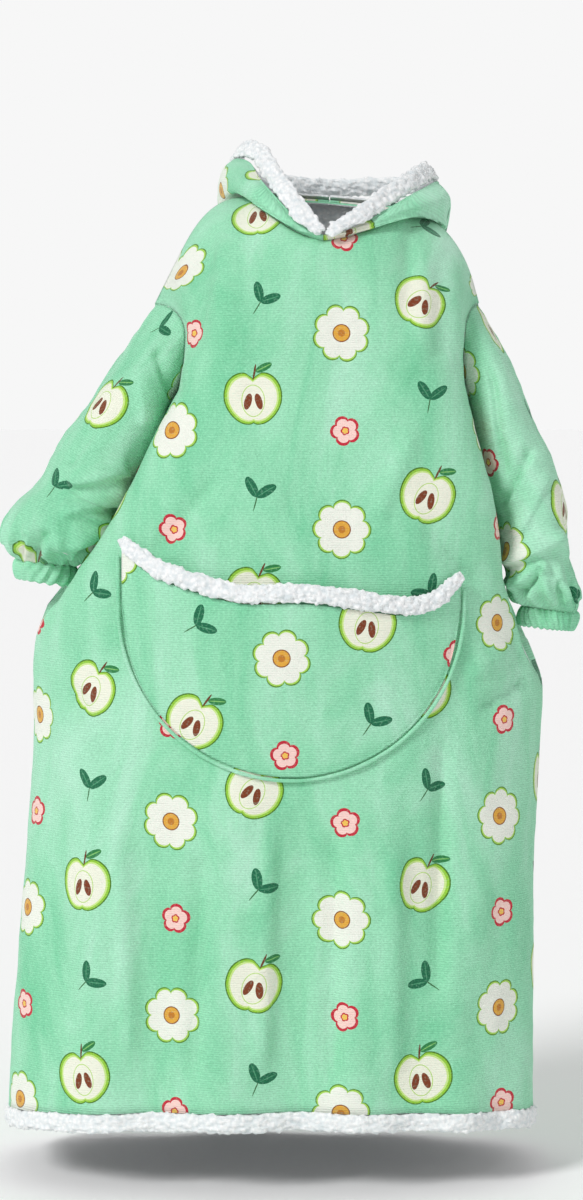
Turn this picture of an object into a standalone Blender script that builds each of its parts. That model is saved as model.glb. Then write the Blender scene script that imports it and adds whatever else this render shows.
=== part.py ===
"""Wearable blanket hoodie with the hood down, built from its maker's pieces.

The garment keeps the hollow form that it has when it is worn: the sides are held
out at hip height, the sleeves hang beside the body and the hood lies behind the
neck. Metres, +Z up, the front faces -Y and +X is the wearer's left. The origin is
the middle of the neck, where the wearer holds the garment up. Each piece is a
cloth wall made through rings or sections that are worked out from the tables
below, and the pieces lie a seam's gap apart.
"""

import math

import bpy
import numpy as np

COLLECTION = "Wearable blanket hoodie"

# Cloth, metres
SHELL = 0.0026          # flannel outer cloth of the body, sleeves and hood
LINING = 0.0030         # sherpa lining of the hood
SEAM = 0.0003           # gap between two pieces that are sewn together

# Colours, linear RGB
MINT = (0.33, 0.80, 0.51)
MINT_SHADE = (0.29, 0.74, 0.46)
SHERPA = (0.86, 0.88, 0.88)


def table(names, rows):
    """A table with named columns, one row for each section."""
    kinds = [(name, float) for name in names.split()]
    return np.array([tuple(row) for row in rows], dtype=kinds)


# Rings of the body, from the chest line to the hem. left and right are the side
# edges, front and back the middle of each panel, side_front and side_back the
# ends of the flat side between them, and square the exponent of the rounding.
BODY = table(
    "z left right front back side_front side_back square",
    [
        (-0.165, -0.205, 0.190, -0.1415, 0.150, -0.045, 0.085, 2.8),
        (-0.205, -0.208, 0.187, -0.1435, 0.152, -0.055, 0.085, 2.7),
        (-0.245, -0.215, 0.192, -0.148, 0.154, -0.070, 0.085, 2.6),
        (-0.292, -0.241, 0.204, -0.158, 0.158, -0.088, 0.085, 2.4),
        (-0.343, -0.268, 0.218, -0.170, 0.162, -0.096, 0.080, 2.3),
        (-0.410, -0.304, 0.236, -0.187, 0.168, -0.096, 0.075, 2.1),
        (-0.468, -0.342, 0.247, -0.198, 0.172, -0.080, 0.060, 2.0),
        (-0.527, -0.392, 0.263, -0.204, 0.176, -0.050, 0.045, 1.9),
        (-0.589, -0.424, 0.288, -0.206, 0.180, -0.028, 0.035, 1.8),
        (-0.634, -0.427, 0.306, -0.206, 0.183, -0.026, 0.035, 1.8),
        (-0.700, -0.424, 0.303, -0.206, 0.186, -0.028, 0.035, 1.9),
        (-0.835, -0.430, 0.297, -0.206, 0.192, -0.032, 0.040, 2.1),
        (-0.960, -0.440, 0.291, -0.206, 0.196, -0.036, 0.045, 2.3),
        (-1.094, -0.449, 0.290, -0.206, 0.200, -0.040, 0.050, 2.4),
        (-1.180, -0.456, 0.289, -0.206, 0.203, -0.042, 0.052, 2.4),
        (-1.268, -0.461, 0.292, -0.206, 0.206, -0.045, 0.055, 2.4),
    ],
)
CHEST_Z = -0.165
UNDERARM_Z = -0.245
HEM_Z = -1.268
FRONT_ARCH = 0.026      # the front hem's middle is this much above the side seams
BACK_DIP = 0.056        # the back hem's middle is this much below them
ARCH_FROM_Z = -0.72

# Armholes: the top of the shoulder seam, the side seam's top and the two mid points
ARMHOLE = table(
    "side top_x top_y top_z under_x under_y front_y back_y",
    [
        (-1, -0.250, 0.010, -0.118, -0.215, 0.020, -0.045, 0.085),
        (1, 0.213, 0.010, -0.118, 0.192, 0.020, -0.045, 0.085),
    ],
)

# Shoulder seams between the armhole's top and the neck, as seen from the front
SHOULDER = table(
    "side outer_x outer_z middle_x middle_z inner_x inner_z neck_x neck_y neck_z",
    [
        (-1, -0.222, -0.062, -0.190, -0.004, -0.155, 0.028, -0.116, 0.032, 0.036),
        (1, 0.197, -0.064, 0.174, -0.024, 0.148, 0.001, 0.114, 0.030, 0.018),
    ],
)
NECK_FRONT = (-0.011, -0.116, -0.034)
NECK_BACK = (0.0, 0.100, 0.030)
NECK_RISE = 1.7         # power of the front neckline's rise to the shoulder

# Grid of the panels: steps along each stretch
YOKE_STEPS = 7
ARMHOLE_STEPS = 5
SKIRT_STEPS = 20
SHOULDER_STEPS = 8
FRONT_NECK_STEPS = 14
BACK_NECK_STEPS = 10

# Sections of the sleeves below the armhole. outer and inner are the two edges as
# seen from the front, middle_y the section's middle and depth its half-thickness.
SLEEVE_COLUMNS = "outer_x outer_z inner_x inner_z middle_y depth square"
RIGHT_SLEEVE = table(
    SLEEVE_COLUMNS,
    [
        (-0.281, -0.165, -0.2265, -0.266, 0.016, 0.080, 2.2),
        (-0.312, -0.210, -0.2345, -0.300, 0.014, 0.088, 2.3),
        (-0.345, -0.257, -0.252, -0.335, 0.010, 0.090, 2.3),
        (-0.377, -0.302, -0.271, -0.371, 0.005, 0.090, 2.3),
        (-0.405, -0.346, -0.292, -0.406, 0.000, 0.086, 2.3),
        (-0.422, -0.376, -0.306, -0.430, -0.004, 0.080, 2.3),
        (-0.456, -0.408, -0.318, -0.452, -0.008, 0.088, 2.4),
        (-0.471, -0.445, -0.328, -0.470, -0.011, 0.086, 2.4),
        (-0.464, -0.472, -0.343, -0.483, -0.014, 0.066, 2.3),
        (-0.4465, -0.4845, -0.3635, -0.4915, -0.015, 0.038, 2.1),
    ],
)
LEFT_SLEEVE = table(
    SLEEVE_COLUMNS,
    [
        (0.236, -0.160, 0.1995, -0.266, 0.018, 0.078, 2.2),
        (0.256, -0.200, 0.206, -0.300, 0.016, 0.086, 2.3),
        (0.272, -0.240, 0.212, -0.335, 0.012, 0.090, 2.3),
        (0.291, -0.282, 0.215, -0.370, 0.008, 0.092, 2.3),
        (0.309, -0.322, 0.225, -0.402, 0.004, 0.092, 2.3),
        (0.323, -0.364, 0.234, -0.434, 0.000, 0.090, 2.3),
        (0.336, -0.405, 0.242, -0.464, -0.004, 0.086, 2.3),
        (0.342, -0.440, 0.247, -0.486, -0.008, 0.082, 2.3),
        (0.337, -0.480, 0.252, -0.506, -0.011, 0.074, 2.3),
        (0.354, -0.514, 0.252, -0.526, -0.013, 0.080, 2.4),
        (0.359, -0.541, 0.258, -0.540, -0.015, 0.066, 2.3),
        (0.3535, -0.5600, 0.2735, -0.5480, -0.016, 0.036, 2.1),
    ],
)
SLEEVE_STEPS = 16
SLEEVE_CLEARANCE = 0.008
SLEEVE_SOFTNESS = 0.010
PUFF_MARGIN = 0.011
CUFF_MARGIN = 0.005
PUFF_FROM_RING = 9

# Cuffs: a gathered casing over elastic
CUFF_HEIGHT = 0.026
CUFF_THICK = 0.006
CUFF_WAVES = 15
CUFF_WAVE = 0.0016
CUFF_COLUMNS = 45
CUFF_RINGS = ((0.0, 0.35), (0.25, 0.95), (0.70, 1.0), (1.0, 0.45))

# Hood, down: sections from the front of the neck to the middle of the back. Each
# point of a section lies out from the neckline and up from it: the lower lobe,
# the crease, the upper lobe and the rim.
HOOD_COLUMNS = "at low_out low_up crease_out crease_up high_out high_up rim_out rim_up"
HOOD_RIGHT = table(
    HOOD_COLUMNS,
    [
        (0.00, 0.001, 0.001, 0.002, 0.002, 0.003, 0.003, 0.004, 0.004),
        (0.10, 0.010, 0.003, 0.013, 0.009, 0.009, 0.014, 0.001, 0.018),
        (0.25, 0.015, 0.005, 0.018, 0.014, 0.011, 0.024, -0.002, 0.031),
        (0.40, 0.020, 0.005, 0.023, 0.018, 0.015, 0.031, -0.001, 0.038),
        (0.54, 0.026, 0.004, 0.029, 0.022, 0.020, 0.040, 0.000, 0.050),
        (0.66, 0.040, -0.010, 0.056, 0.006, 0.054, 0.040, 0.036, 0.056),
        (0.82, 0.050, -0.016, 0.104, -0.110, 0.140, -0.060, 0.120, 0.022),
        (1.00, 0.052, -0.020, 0.112, -0.185, 0.168, -0.112, 0.150, 0.010),
    ],
)
HOOD_LEFT = table(
    HOOD_COLUMNS,
    [
        (0.00, 0.001, 0.001, 0.002, 0.002, 0.003, 0.003, 0.004, 0.004),
        (0.10, 0.008, 0.000, 0.010, 0.004, 0.008, 0.008, 0.002, 0.010),
        (0.25, 0.020, 0.000, 0.016, 0.005, 0.017, 0.011, 0.004, 0.017),
        (0.40, 0.036, -0.006, 0.028, 0.002, 0.036, 0.013, 0.012, 0.024),
        (0.54, 0.054, -0.028, 0.042, -0.010, 0.056, 0.006, 0.028, 0.032),
        (0.66, 0.060, -0.034, 0.062, -0.012, 0.072, 0.012, 0.050, 0.042),
        (0.82, 0.052, -0.018, 0.106, -0.108, 0.146, -0.058, 0.128, 0.022),
        (1.00, 0.052, -0.020, 0.112, -0.185, 0.168, -0.112, 0.150, 0.010),
    ],
)
HOOD_STEPS = 9
LINING_GAP = 0.0043
LINING_ACROSS_TO = 0.58
LINING_POUCH_FROM = 0.84
LINING_FROM = 1         # the section that it starts at
HOOD_CLEARANCE = 0.0075
HOOD_FIRST_RISE = 0.0100        # more beside the neckline, where the body rises outward
HOOD_RISE_FROM = 0.20
HOOD_RISE_TO = 0.62
HOOD_RISE_OVER = 0.15
HOOD_MIDDLE_Y = 0.01
HOOD_BEND_RISE = 0.02
LIFT_REACH = 0.060      # cloth further than this from a surface isn't moved off it
DENSER = 3              # steps between points of a surface that cloth lies on

# The hood's sherpa edge: the middle of each end, in front of the neckline's middle,
# and the places that it passes before it follows the hood's rim
TRIM_WIDTH = 0.029
TRIM_THICK = 0.012
TRIM_FRONT = table(
    "side x y z",
    [
        (-1, -0.0200, -0.1290, -0.0240),
        (-1, -0.0330, -0.1235, -0.0070),
        (-1, -0.0470, -0.1140, 0.0120),
        (1, 0.0005, -0.1290, -0.0260),
        (1, 0.0170, -0.1260, -0.0150),
        (1, 0.0360, -0.1170, -0.0020),
    ],
)
TRIM_GAP = 0.0050
TRIM_MEET_X = -0.0085
TRIM_RIM_FROM = 0.27
TRIM_STATIONS = 22

# Pocket: straight sides above a half-round, as seen from the front
POCKET_X = -0.0553
POCKET_HALF = 0.2335
POCKET_SIDE_END_Z = -0.545
POCKET_BOTTOM_Z = -0.7735
POCKET_FULL = 0.011     # the most that the pocket stands off the panel
POCKET_LIFT = 0.0018    # at its edges
POCKET_COLUMNS = 22
POCKET_ROWS = 9
POCKET_TOP = table(
    "x z",
    [
        (-0.2888, -0.4500),
        (-0.2450, -0.4830),
        (-0.1907, -0.5031),
        (-0.1230, -0.5200),
        (-0.0475, -0.5190),
        (0.0554, -0.5312),
        (0.1066, -0.5369),
        (0.1485, -0.5246),
        (0.1782, -0.4960),
    ],
)
ROLL_HEIGHT = 0.028
ROLL_THICK = 0.013
ROLL_COLUMNS = 30
BINDING_RADIUS = 0.0032
BINDING_BELOW = 0.004
BINDING_ASIDE = 0.0012
BINDING_RISE = 0.0018
ROLL_STAND_OFF = 0.85   # share of the pocket's fullness that its roll follows
ROLL_TAPER = 0.35
ROLL_TAPER_POWER = 12
POCKET_TURNED = 0.55    # how far the pocket's columns draw together at its sides
BINDING_COLUMNS = 36

# Hem band
BAND_HEIGHT = 0.028
BAND_THICK = 0.011
BAND_REACH = 0.936      # how near to its full half-height the band's faceted oval comes

# The body's way round the sleeves: how its limit rounds off before and behind a
# sleeve, past its cuff and above the underarm, and where the push sets in
LIMIT_ROUND_POWER = 2.3
LIMIT_END_FROM = 0.97
LIMIT_END_SLOPE = 0.3
LIMIT_MARGIN = 0.004
PAST_CUFF_SLOPE = 2.2
ABOVE_UNDERARM_SLOPE = 3
PUSH_FROM = -0.03
PUSH_OVER = 0.02
UNDERARM_FADE = 0.012

# Folds of the front and back panels: a line from one place to another as seen
# from the front, with its width and its height, which is less than 0 in a trough
FOLD_COLUMNS = "from_x from_z to_x to_z width height"
FRONT_FOLDS = table(
    FOLD_COLUMNS,
    [
        (-0.172, 0.000, -0.196, -0.200, 0.016, -0.016),
        (-0.140, -0.020, -0.160, -0.300, 0.030, 0.008),
        (0.112, -0.035, 0.100, -0.150, 0.011, -0.010),
        (0.134, -0.040, 0.128, -0.210, 0.012, 0.007),
        (0.152, -0.045, 0.158, -0.200, 0.012, -0.011),
        (-0.036, -0.790, -0.040, -1.330, 0.030, -0.016),
        (-0.125, -0.740, -0.150, -1.330, 0.042, 0.012),
        (0.050, -0.760, 0.040, -1.330, 0.040, 0.012),
        (0.130, -0.800, 0.120, -1.330, 0.030, -0.008),
        (-0.235, -0.800, -0.250, -1.330, 0.032, -0.011),
        (-0.330, -0.700, -0.330, -1.330, 0.035, 0.011),
        (0.236, -0.930, 0.200, -1.200, 0.017, -0.015),
        (0.262, -1.060, 0.232, -1.330, 0.014, -0.013),
        (0.215, -0.900, 0.175, -1.330, 0.024, 0.008),
        (-0.420, -0.560, -0.372, -1.150, 0.022, -0.012),
        (0.300, -0.640, 0.215, -0.560, 0.018, -0.010),
        (0.290, -0.700, 0.232, -0.860, 0.020, -0.008),
        (-0.405, -0.590, -0.310, -0.640, 0.020, -0.008),
    ],
)
BACK_FOLDS = table(
    FOLD_COLUMNS,
    [
        (0.020, -0.300, 0.005, -1.400, 0.038, -0.018),
        (-0.080, -0.260, -0.130, -1.400, 0.045, 0.014),
        (0.110, -0.280, 0.090, -1.400, 0.042, 0.013),
        (-0.170, -0.420, -0.250, -1.400, 0.034, -0.014),
        (0.190, -0.480, 0.180, -1.400, 0.032, -0.013),
        (-0.270, -0.560, -0.350, -1.400, 0.036, 0.012),
        (0.245, -0.640, 0.245, -1.400, 0.026, 0.009),
        (-0.400, -0.580, -0.300, -0.700, 0.026, -0.012),
        (0.285, -0.620, 0.200, -0.720, 0.024, -0.010),
    ],
)
FOLD_FADE = 0.13        # share of a fold's length over which it dies away

# Folds of the sleeves: middle along the sleeve and round it (turns from the outer
# edge, 0.25 in front, 0.5 at the body), their reach and their height
SLEEVE_FOLD_COLUMNS = "along round along_reach round_reach height"
RIGHT_SLEEVE_FOLDS = table(
    SLEEVE_FOLD_COLUMNS,
    [
        (0.16, 0.13, 0.09, 0.10, -0.007),
        (0.27, 0.34, 0.05, 0.14, 0.008),
        (0.42, 0.14, 0.05, 0.13, -0.006),
        (0.50, 0.40, 0.04, 0.15, -0.011),
        (0.57, 0.38, 0.035, 0.15, 0.008),
        (0.63, 0.40, 0.03, 0.15, -0.010),
        (0.66, 0.08, 0.04, 0.15, -0.009),
        (0.74, 0.36, 0.04, 0.12, 0.006),
        (0.60, 0.75, 0.04, 0.18, -0.009),
        (0.34, 0.80, 0.06, 0.16, -0.007),
    ],
)
LEFT_SLEEVE_FOLDS = table(
    SLEEVE_FOLD_COLUMNS,
    [
        (0.20, 0.20, 0.10, 0.07, 0.007),
        (0.36, 0.30, 0.09, 0.07, -0.008),
        (0.50, 0.14, 0.05, 0.12, 0.007),
        (0.57, 0.36, 0.04, 0.14, -0.010),
        (0.66, 0.22, 0.035, 0.16, 0.008),
        (0.73, 0.18, 0.03, 0.22, -0.012),
        (0.86, 0.30, 0.04, 0.10, -0.006),
        (0.60, 0.76, 0.04, 0.18, -0.009),
        (0.34, 0.80, 0.06, 0.16, -0.007),
    ],
)
GATHER_WAVES = 12
GATHER_HEIGHT = 0.0035
GATHER_FROM = 0.84
GATHER_OVER = 0.10
GATHER_END = 0.03
SLEEVE_FOLDS_FROM = 0.12

UP = np.array([0.0, 0.0, 1.0])
BACKWARD = np.array([0.0, 1.0, 0.0])


# Numbers and curves

def unit(vectors):
    """Vectors scaled to length 1."""
    return vectors / np.linalg.norm(vectors, axis=-1, keepdims=True)


def hermite(keys, values, at):
    """Smooth values at the wanted places between the given ones."""
    slopes = np.gradient(values, keys)
    at = np.clip(at, keys[0], keys[-1])
    low = np.clip(np.searchsorted(keys, at, side="right") - 1, 0, len(keys) - 2)
    step = keys[low + 1] - keys[low]
    share = (at - keys[low]) / step
    rise = values[low + 1] - values[low]
    ease = share * share * (3 - 2 * share)
    start = share * (1 - share) ** 2 * slopes[low] * step
    end = share * share * (1 - share) * slopes[low + 1] * step
    return values[low] + ease * rise + start - end


def read(rows, key, name, at):
    """One column of a table at the wanted places of its key column."""
    order = np.argsort(rows[key])
    return hermite(rows[key][order], rows[name][order], np.asarray(at, float))


def through(points, count):
    """A smooth curve through points, with evenly spaced samples."""
    points = np.asarray(points, float)
    keys = np.arange(len(points), dtype=float)
    fine = np.linspace(0, keys[-1], 40 * len(points))
    curve = np.stack([hermite(keys, points[:, k], fine) for k in range(3)], axis=1)
    return even(curve, np.linspace(0, 1, count))


def even(curve, shares):
    """Points of a polyline at the given shares of its length."""
    steps = np.linalg.norm(np.diff(curve, axis=0), axis=1)
    length = np.concatenate([[0], np.cumsum(steps)])
    wanted = np.asarray(shares) * length[-1]
    return np.stack([np.interp(wanted, length, curve[:, k]) for k in range(3)], axis=1)


def bent(angle, square):
    """Cosine and sine of an angle, squared out as a superellipse is."""
    power = 2 / square
    across = np.sign(np.cos(angle)) * np.abs(np.cos(angle)) ** power
    along = np.sign(np.sin(angle)) * np.abs(np.sin(angle)) ** power
    return across, along


# Walls of cloth

def grid_normals(grid, centres, wrapped):
    """Normals of a grid of points that face away from its centres."""
    if wrapped:
        padded = np.concatenate([grid[:, -1:], grid, grid[:, :1]], axis=1)
        along_columns = (padded[:, 2:] - padded[:, :-2]) / 2
    else:
        along_columns = np.gradient(grid, axis=1)
    along_rows = np.gradient(grid, axis=0)
    normals = unit(np.cross(along_rows, along_columns))
    outward = (normals * (grid - centres)).sum()
    return normals if outward > 0 else -normals


def keep_own_side(inward, thick, across):
    """Inward steps that don't cross a seam to the piece that across points to."""
    beyond = np.maximum((inward * across).sum(axis=-1, keepdims=True), 0)
    return unit(inward - beyond * across) * thick


def wall(grid, centres, thick, seams=(), wrapped=False):
    """Outer and inner points of a cloth wall, drawn back from its seams.

    A seam is the rows and columns of the grid that it runs along, and the direction
    across it, out of this piece.
    """
    inward = -grid_normals(grid, centres, wrapped) * thick
    outer = grid.copy()
    for place, across in seams:
        outer[place] -= across * SEAM / 2
        inward[place] = keep_own_side(inward[place], thick, across)
    return outer, outer + inward


def add_mesh(name, points, faces, colour, roughness):
    """A named mesh object with its own material, its faces turned outward."""
    mesh = bpy.data.meshes.new(name)
    mesh.from_pydata([tuple(p) for p in points], [], faces)
    mesh.validate()
    thing = bpy.data.objects.new(name, mesh)
    bpy.data.collections[COLLECTION].objects.link(thing)
    bpy.context.view_layer.objects.active = thing
    thing.select_set(True)
    bpy.ops.object.mode_set(mode="EDIT")
    bpy.ops.mesh.select_all(action="SELECT")
    bpy.ops.mesh.normals_make_consistent(inside=False)
    bpy.ops.object.mode_set(mode="OBJECT")
    thing.select_set(False)
    for polygon in mesh.polygons:
        polygon.use_smooth = True
    finish = bpy.data.materials.new(name)
    finish.use_nodes = True
    shader = finish.node_tree.nodes["Principled BSDF"]
    shader.inputs["Base Color"].default_value = (*colour, 1)
    shader.inputs["Roughness"].default_value = roughness
    shader.inputs["Metallic"].default_value = 0
    mesh.materials.append(finish)
    return thing


def add_wall(name, outer, inner, wrapped=False, colour=MINT, roughness=0.9):
    """A closed cloth wall between two grids of points."""
    rows, columns = outer.shape[:2]
    count = rows * columns
    points = np.concatenate([outer.reshape(-1, 3), inner.reshape(-1, 3)])
    last = columns if wrapped else columns - 1
    faces = []
    for i in range(rows - 1):
        for j in range(last):
            near, far = i * columns + j, i * columns + (j + 1) % columns
            faces.append((near, far, far + columns, near + columns))
            faces.append(tuple(n + count for n in (near, near + columns, far + columns, far)))
    edges = [(i * columns + j, i * columns + (j + 1) % columns)
             for i in (0, rows - 1) for j in range(last)]
    if not wrapped:
        edges += [(i * columns + j, (i + 1) * columns + j)
                  for j in (0, columns - 1) for i in range(rows - 1)]
    for a, b in edges:
        faces.append((a, b, b + count, a + count))
    return add_mesh(name, points, faces, colour, roughness)


def add_roll(name, sections, closed=False, colour=SHERPA, roughness=0.95):
    """A closed roll through sections of the same number of points."""
    count, sides = sections.shape[:2]
    faces = []
    for i in range(count if closed else count - 1):
        for j in range(sides):
            near, far = i * sides + j, i * sides + (j + 1) % sides
            nxt = (i + 1) % count * sides - i * sides
            faces.append((near, far, far + nxt, near + nxt))
    if not closed:
        faces.append(tuple(range(sides)))
        faces.append(tuple((count - 1) * sides + j for j in range(sides)))
    return add_mesh(name, sections.reshape(-1, 3), faces, colour, roughness)


def oval(middles, wide, thick, wide_half, thick_half, sides=8, square=2.4):
    """Oval sections about middles, in the plane of two directions."""
    angles = (np.arange(sides) + 0.5) * 2 * math.pi / sides
    across, along = bent(angles, square)
    wide_half = np.broadcast_to(wide_half, len(middles))[:, None, None]
    thick_half = np.broadcast_to(thick_half, len(middles))[:, None, None]
    return (middles[:, None]
            + wide[:, None] * across[None, :, None] * wide_half
            + thick[:, None] * along[None, :, None] * thick_half)


# Body

def armhole(side):
    """The armhole's row of the table: -1 at -X, 1 at +X."""
    return ARMHOLE[0] if side < 0 else ARMHOLE[1]


def armhole_axis(side):
    """The direction from the body to the sleeve across an armhole's seam."""
    hole = armhole(side)
    drop = np.array([hole["under_x"] - hole["top_x"], 0, UNDERARM_Z - hole["top_z"]])
    return side * unit(np.cross(drop, BACKWARD))


def sleeve_limit(side, points):
    """How far toward the sleeve a body point may lie, as an X beyond its clearance."""
    rows = RIGHT_SLEEVE if side < 0 else LEFT_SLEEVE
    z = points[:, 2]
    inner = read(rows, "inner_z", "inner_x", z)
    middle = read(rows, "inner_z", "middle_y", z)
    depth = read(rows, "inner_z", "depth", z)
    off = np.clip(np.abs(points[:, 1] - middle) / (depth + SLEEVE_CLEARANCE), 0, 1)
    reach = np.abs(rows["outer_x"] - rows["inner_x"]).mean() / 2
    round_off = reach * (1 - np.sqrt(1 - off ** LIMIT_ROUND_POWER))
    round_off = round_off + LIMIT_END_SLOPE * np.clip(off - LIMIT_END_FROM, 0, 1)
    past_cuff = np.clip(rows["inner_z"].min() - LIMIT_MARGIN - z, 0, 1)
    above_underarm = np.clip(z - UNDERARM_Z + LIMIT_MARGIN, 0, 1)
    away = round_off + PAST_CUFF_SLOPE * past_cuff + ABOVE_UNDERARM_SLOPE * above_underarm
    return inner - side * SLEEVE_CLEARANCE + side * away


def beside_sleeves(points):
    """Points of a body ring, moved softly out of the sleeves' way."""
    moved = points.copy()
    for side in (-1, 1):
        limit = sleeve_limit(side, points)
        near = side * (moved[:, 0] - limit)
        push = (near + np.sqrt(near ** 2 + SLEEVE_SOFTNESS ** 2)) / 2
        push = np.where(near > PUSH_FROM, push, 0) * smooth_step((near - PUSH_FROM) / PUSH_OVER)
        below = smooth_step((UNDERARM_Z - points[:, 2]) / UNDERARM_FADE)
        moved[:, 0] -= side * push * below
    return moved


def lifted_off(points, surface, normals, clearance, margin=0.0):
    """Points moved along the nearest normals until they clear a surface's points.

    The margin is added to the clearance, and may differ from one point of the surface
    to another.
    """
    flat, away = surface.reshape(-1, 3), normals.reshape(-1, 3)
    moved = points.reshape(-1, 3).copy()
    wanted = np.broadcast_to(clearance, points.shape[:-1]).reshape(-1)
    margin = np.broadcast_to(margin, surface.shape[:-1]).reshape(-1)
    for _ in range(2):
        nearest = ((moved[:, None] - flat[None]) ** 2).sum(axis=2).argmin(axis=1)
        apart = moved - flat[nearest]
        gap = (apart * away[nearest]).sum(axis=1)
        close = smooth_step((LIFT_REACH - np.linalg.norm(apart, axis=1)) / LIFT_REACH * 3)
        lift = np.maximum(wanted + margin[nearest] - gap, 0) * close
        moved += away[nearest] * lift[:, None]
    return moved.reshape(points.shape)


def denser(grid):
    """A grid of points with more of them between its rows and columns."""
    for axis in (0, 1):
        count = grid.shape[axis]
        at = np.linspace(0, count - 1, (count - 1) * DENSER + 1)
        low = np.clip(at.astype(int), 0, count - 2)
        share = (at - low).reshape((-1, 1, 1) if axis == 0 else (1, -1, 1))
        near, far = grid.take(low, axis=axis), grid.take(low + 1, axis=axis)
        grid = near + (far - near) * share
    return grid


def smooth_step(share):
    """0 to 1 with soft ends."""
    share = np.clip(share, 0, 1)
    return share * share * (3 - 2 * share)


def edge_y(panel, z):
    """Y of a panel's side edges at a height, at each side: side seam or armhole."""
    names = {-1: "front_y", 1: "back_y"}
    found = []
    for side in (-1, 1):
        hole = armhole(side)
        share = np.clip((z - UNDERARM_Z) / (CHEST_Z - UNDERARM_Z), 0, 1)
        curve = math.sqrt(1 - (1 - share) ** 2)
        seam = hole["under_y"] * smooth_step((z - BODY["z"].min()) / 0.9)
        found.append(seam + (hole[names[panel]] - hole["under_y"]) * curve)
    return found


def half_ring(panel, z, columns):
    """One panel's half of the body ring at a height. panel is -1 in front, 1 behind."""
    value = {name: float(read(BODY, "z", name, z)) for name in BODY.dtype.names}
    deepest = value["front"] if panel < 0 else value["back"]
    flat = value["side_front"] if panel < 0 else value["side_back"]
    middle = (value["left"] + value["right"]) / 2
    half = (value["right"] - value["left"]) / 2
    angle = np.linspace(-math.pi / 2, math.pi / 2, 161)
    across, along = bent(angle, value["square"])
    y = flat + (deepest - flat) * across
    ring = np.stack([middle + half * along, y, np.full_like(y, z)], axis=1)
    left_y, right_y = edge_y(panel, z)
    ends = [(value["left"], left_y, z), (value["right"], right_y, z)]
    strips = [np.linspace(ends[0], ring[0], 16)[:-1], np.linspace(ring[-1], ends[1], 16)[1:]]
    ring = beside_sleeves(np.concatenate([strips[0], ring, strips[1]]))
    return even(ring, np.linspace(0, 1, columns + 1))


def shoulder_line(side):
    """A shoulder seam from the armhole to the neck."""
    row = SHOULDER[0] if side < 0 else SHOULDER[1]
    hole = armhole(side)
    y = np.linspace(hole["top_y"], row["neck_y"], 5)
    knots = [
        (hole["top_x"], y[0], hole["top_z"]),
        (row["outer_x"], y[1], row["outer_z"]),
        (row["middle_x"], y[2], row["middle_z"]),
        (row["inner_x"], y[3], row["inner_z"]),
        (row["neck_x"], y[4], row["neck_z"]),
    ]
    return through(knots, SHOULDER_STEPS + 1)


def neck_half(panel, side):
    """Half a neckline, from the shoulder seam to the middle of a panel."""
    start = shoulder_line(side)[-1]
    end = np.array(NECK_FRONT if panel < 0 else NECK_BACK)
    steps = FRONT_NECK_STEPS if panel < 0 else BACK_NECK_STEPS
    angle = np.linspace(math.pi / 2, 0, 60)
    rise = np.sin(angle) ** (NECK_RISE if panel < 0 else 1.0)
    curve = np.stack([
        end[0] + (start[0] - end[0]) * np.sin(angle),
        start[1] + (end[1] - start[1]) * np.cos(angle),
        end[2] + (start[2] - end[2]) * rise,
    ], axis=1)
    return even(curve, np.linspace(0, 1, steps // 2 + 1))


def top_line(panel):
    """The top edge of a panel: shoulder seam, neckline and shoulder seam."""
    left, right = neck_half(panel, -1), neck_half(panel, 1)
    return np.concatenate([shoulder_line(-1), left[1:], right[::-1][1:],
                           shoulder_line(1)[::-1][1:]])


def fold_height(folds, points):
    """How far the folds lift or sink the cloth at each point, seen from the front."""
    lift = np.zeros(points.shape[:-1])
    place = points[..., [0, 2]]
    for fold in folds:
        start = np.array([fold["from_x"], fold["from_z"]])
        way = np.array([fold["to_x"], fold["to_z"]]) - start
        share = ((place - start) @ way) / (way @ way)
        off = np.linalg.norm(place - start - np.clip(share, 0, 1)[..., None] * way, axis=-1)
        fade = smooth_step(share / FOLD_FADE) * smooth_step((1 - share) / FOLD_FADE)
        lift += fold["height"] * np.exp(-(off / fold["width"]) ** 2) * fade
    return lift


def panel_grid(panel):
    """Outer points of the front (-1) or back (1) panel, from the hem to the top edge."""
    necks = FRONT_NECK_STEPS if panel < 0 else BACK_NECK_STEPS
    columns = 2 * SHOULDER_STEPS + necks
    share = np.linspace(-1, 1, columns + 1)
    rows = []
    for z in np.linspace(HEM_Z, UNDERARM_Z, SKIRT_STEPS + 1):
        row = half_ring(panel, z, columns)
        low = smooth_step((ARCH_FROM_Z - z) / (ARCH_FROM_Z - HEM_Z))
        row[:, 2] += (FRONT_ARCH if panel < 0 else -BACK_DIP) * low * (1 - share ** 2)
        rows.append(row)
    for k in range(1, ARMHOLE_STEPS + 1):
        angle = (1 - k / ARMHOLE_STEPS) * math.pi / 2
        z = CHEST_Z + (UNDERARM_Z - CHEST_Z) * math.sin(angle)
        even_z = UNDERARM_Z + (CHEST_Z - UNDERARM_Z) * k / ARMHOLE_STEPS
        edge, middle = half_ring(panel, z, columns), half_ring(panel, even_z, columns)
        rows.append(edge + (middle - edge) * (1 - share ** 4)[:, None])
    chest, top = rows[-1], top_line(panel)
    for k in range(1, YOKE_STEPS + 1):
        angle = k / YOKE_STEPS * math.pi / 2
        shares = np.array([1 - math.cos(angle), 1 - math.cos(angle), math.sin(angle)])
        rows.append(chest + (top - chest) * shares)
    return np.array(rows)


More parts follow.
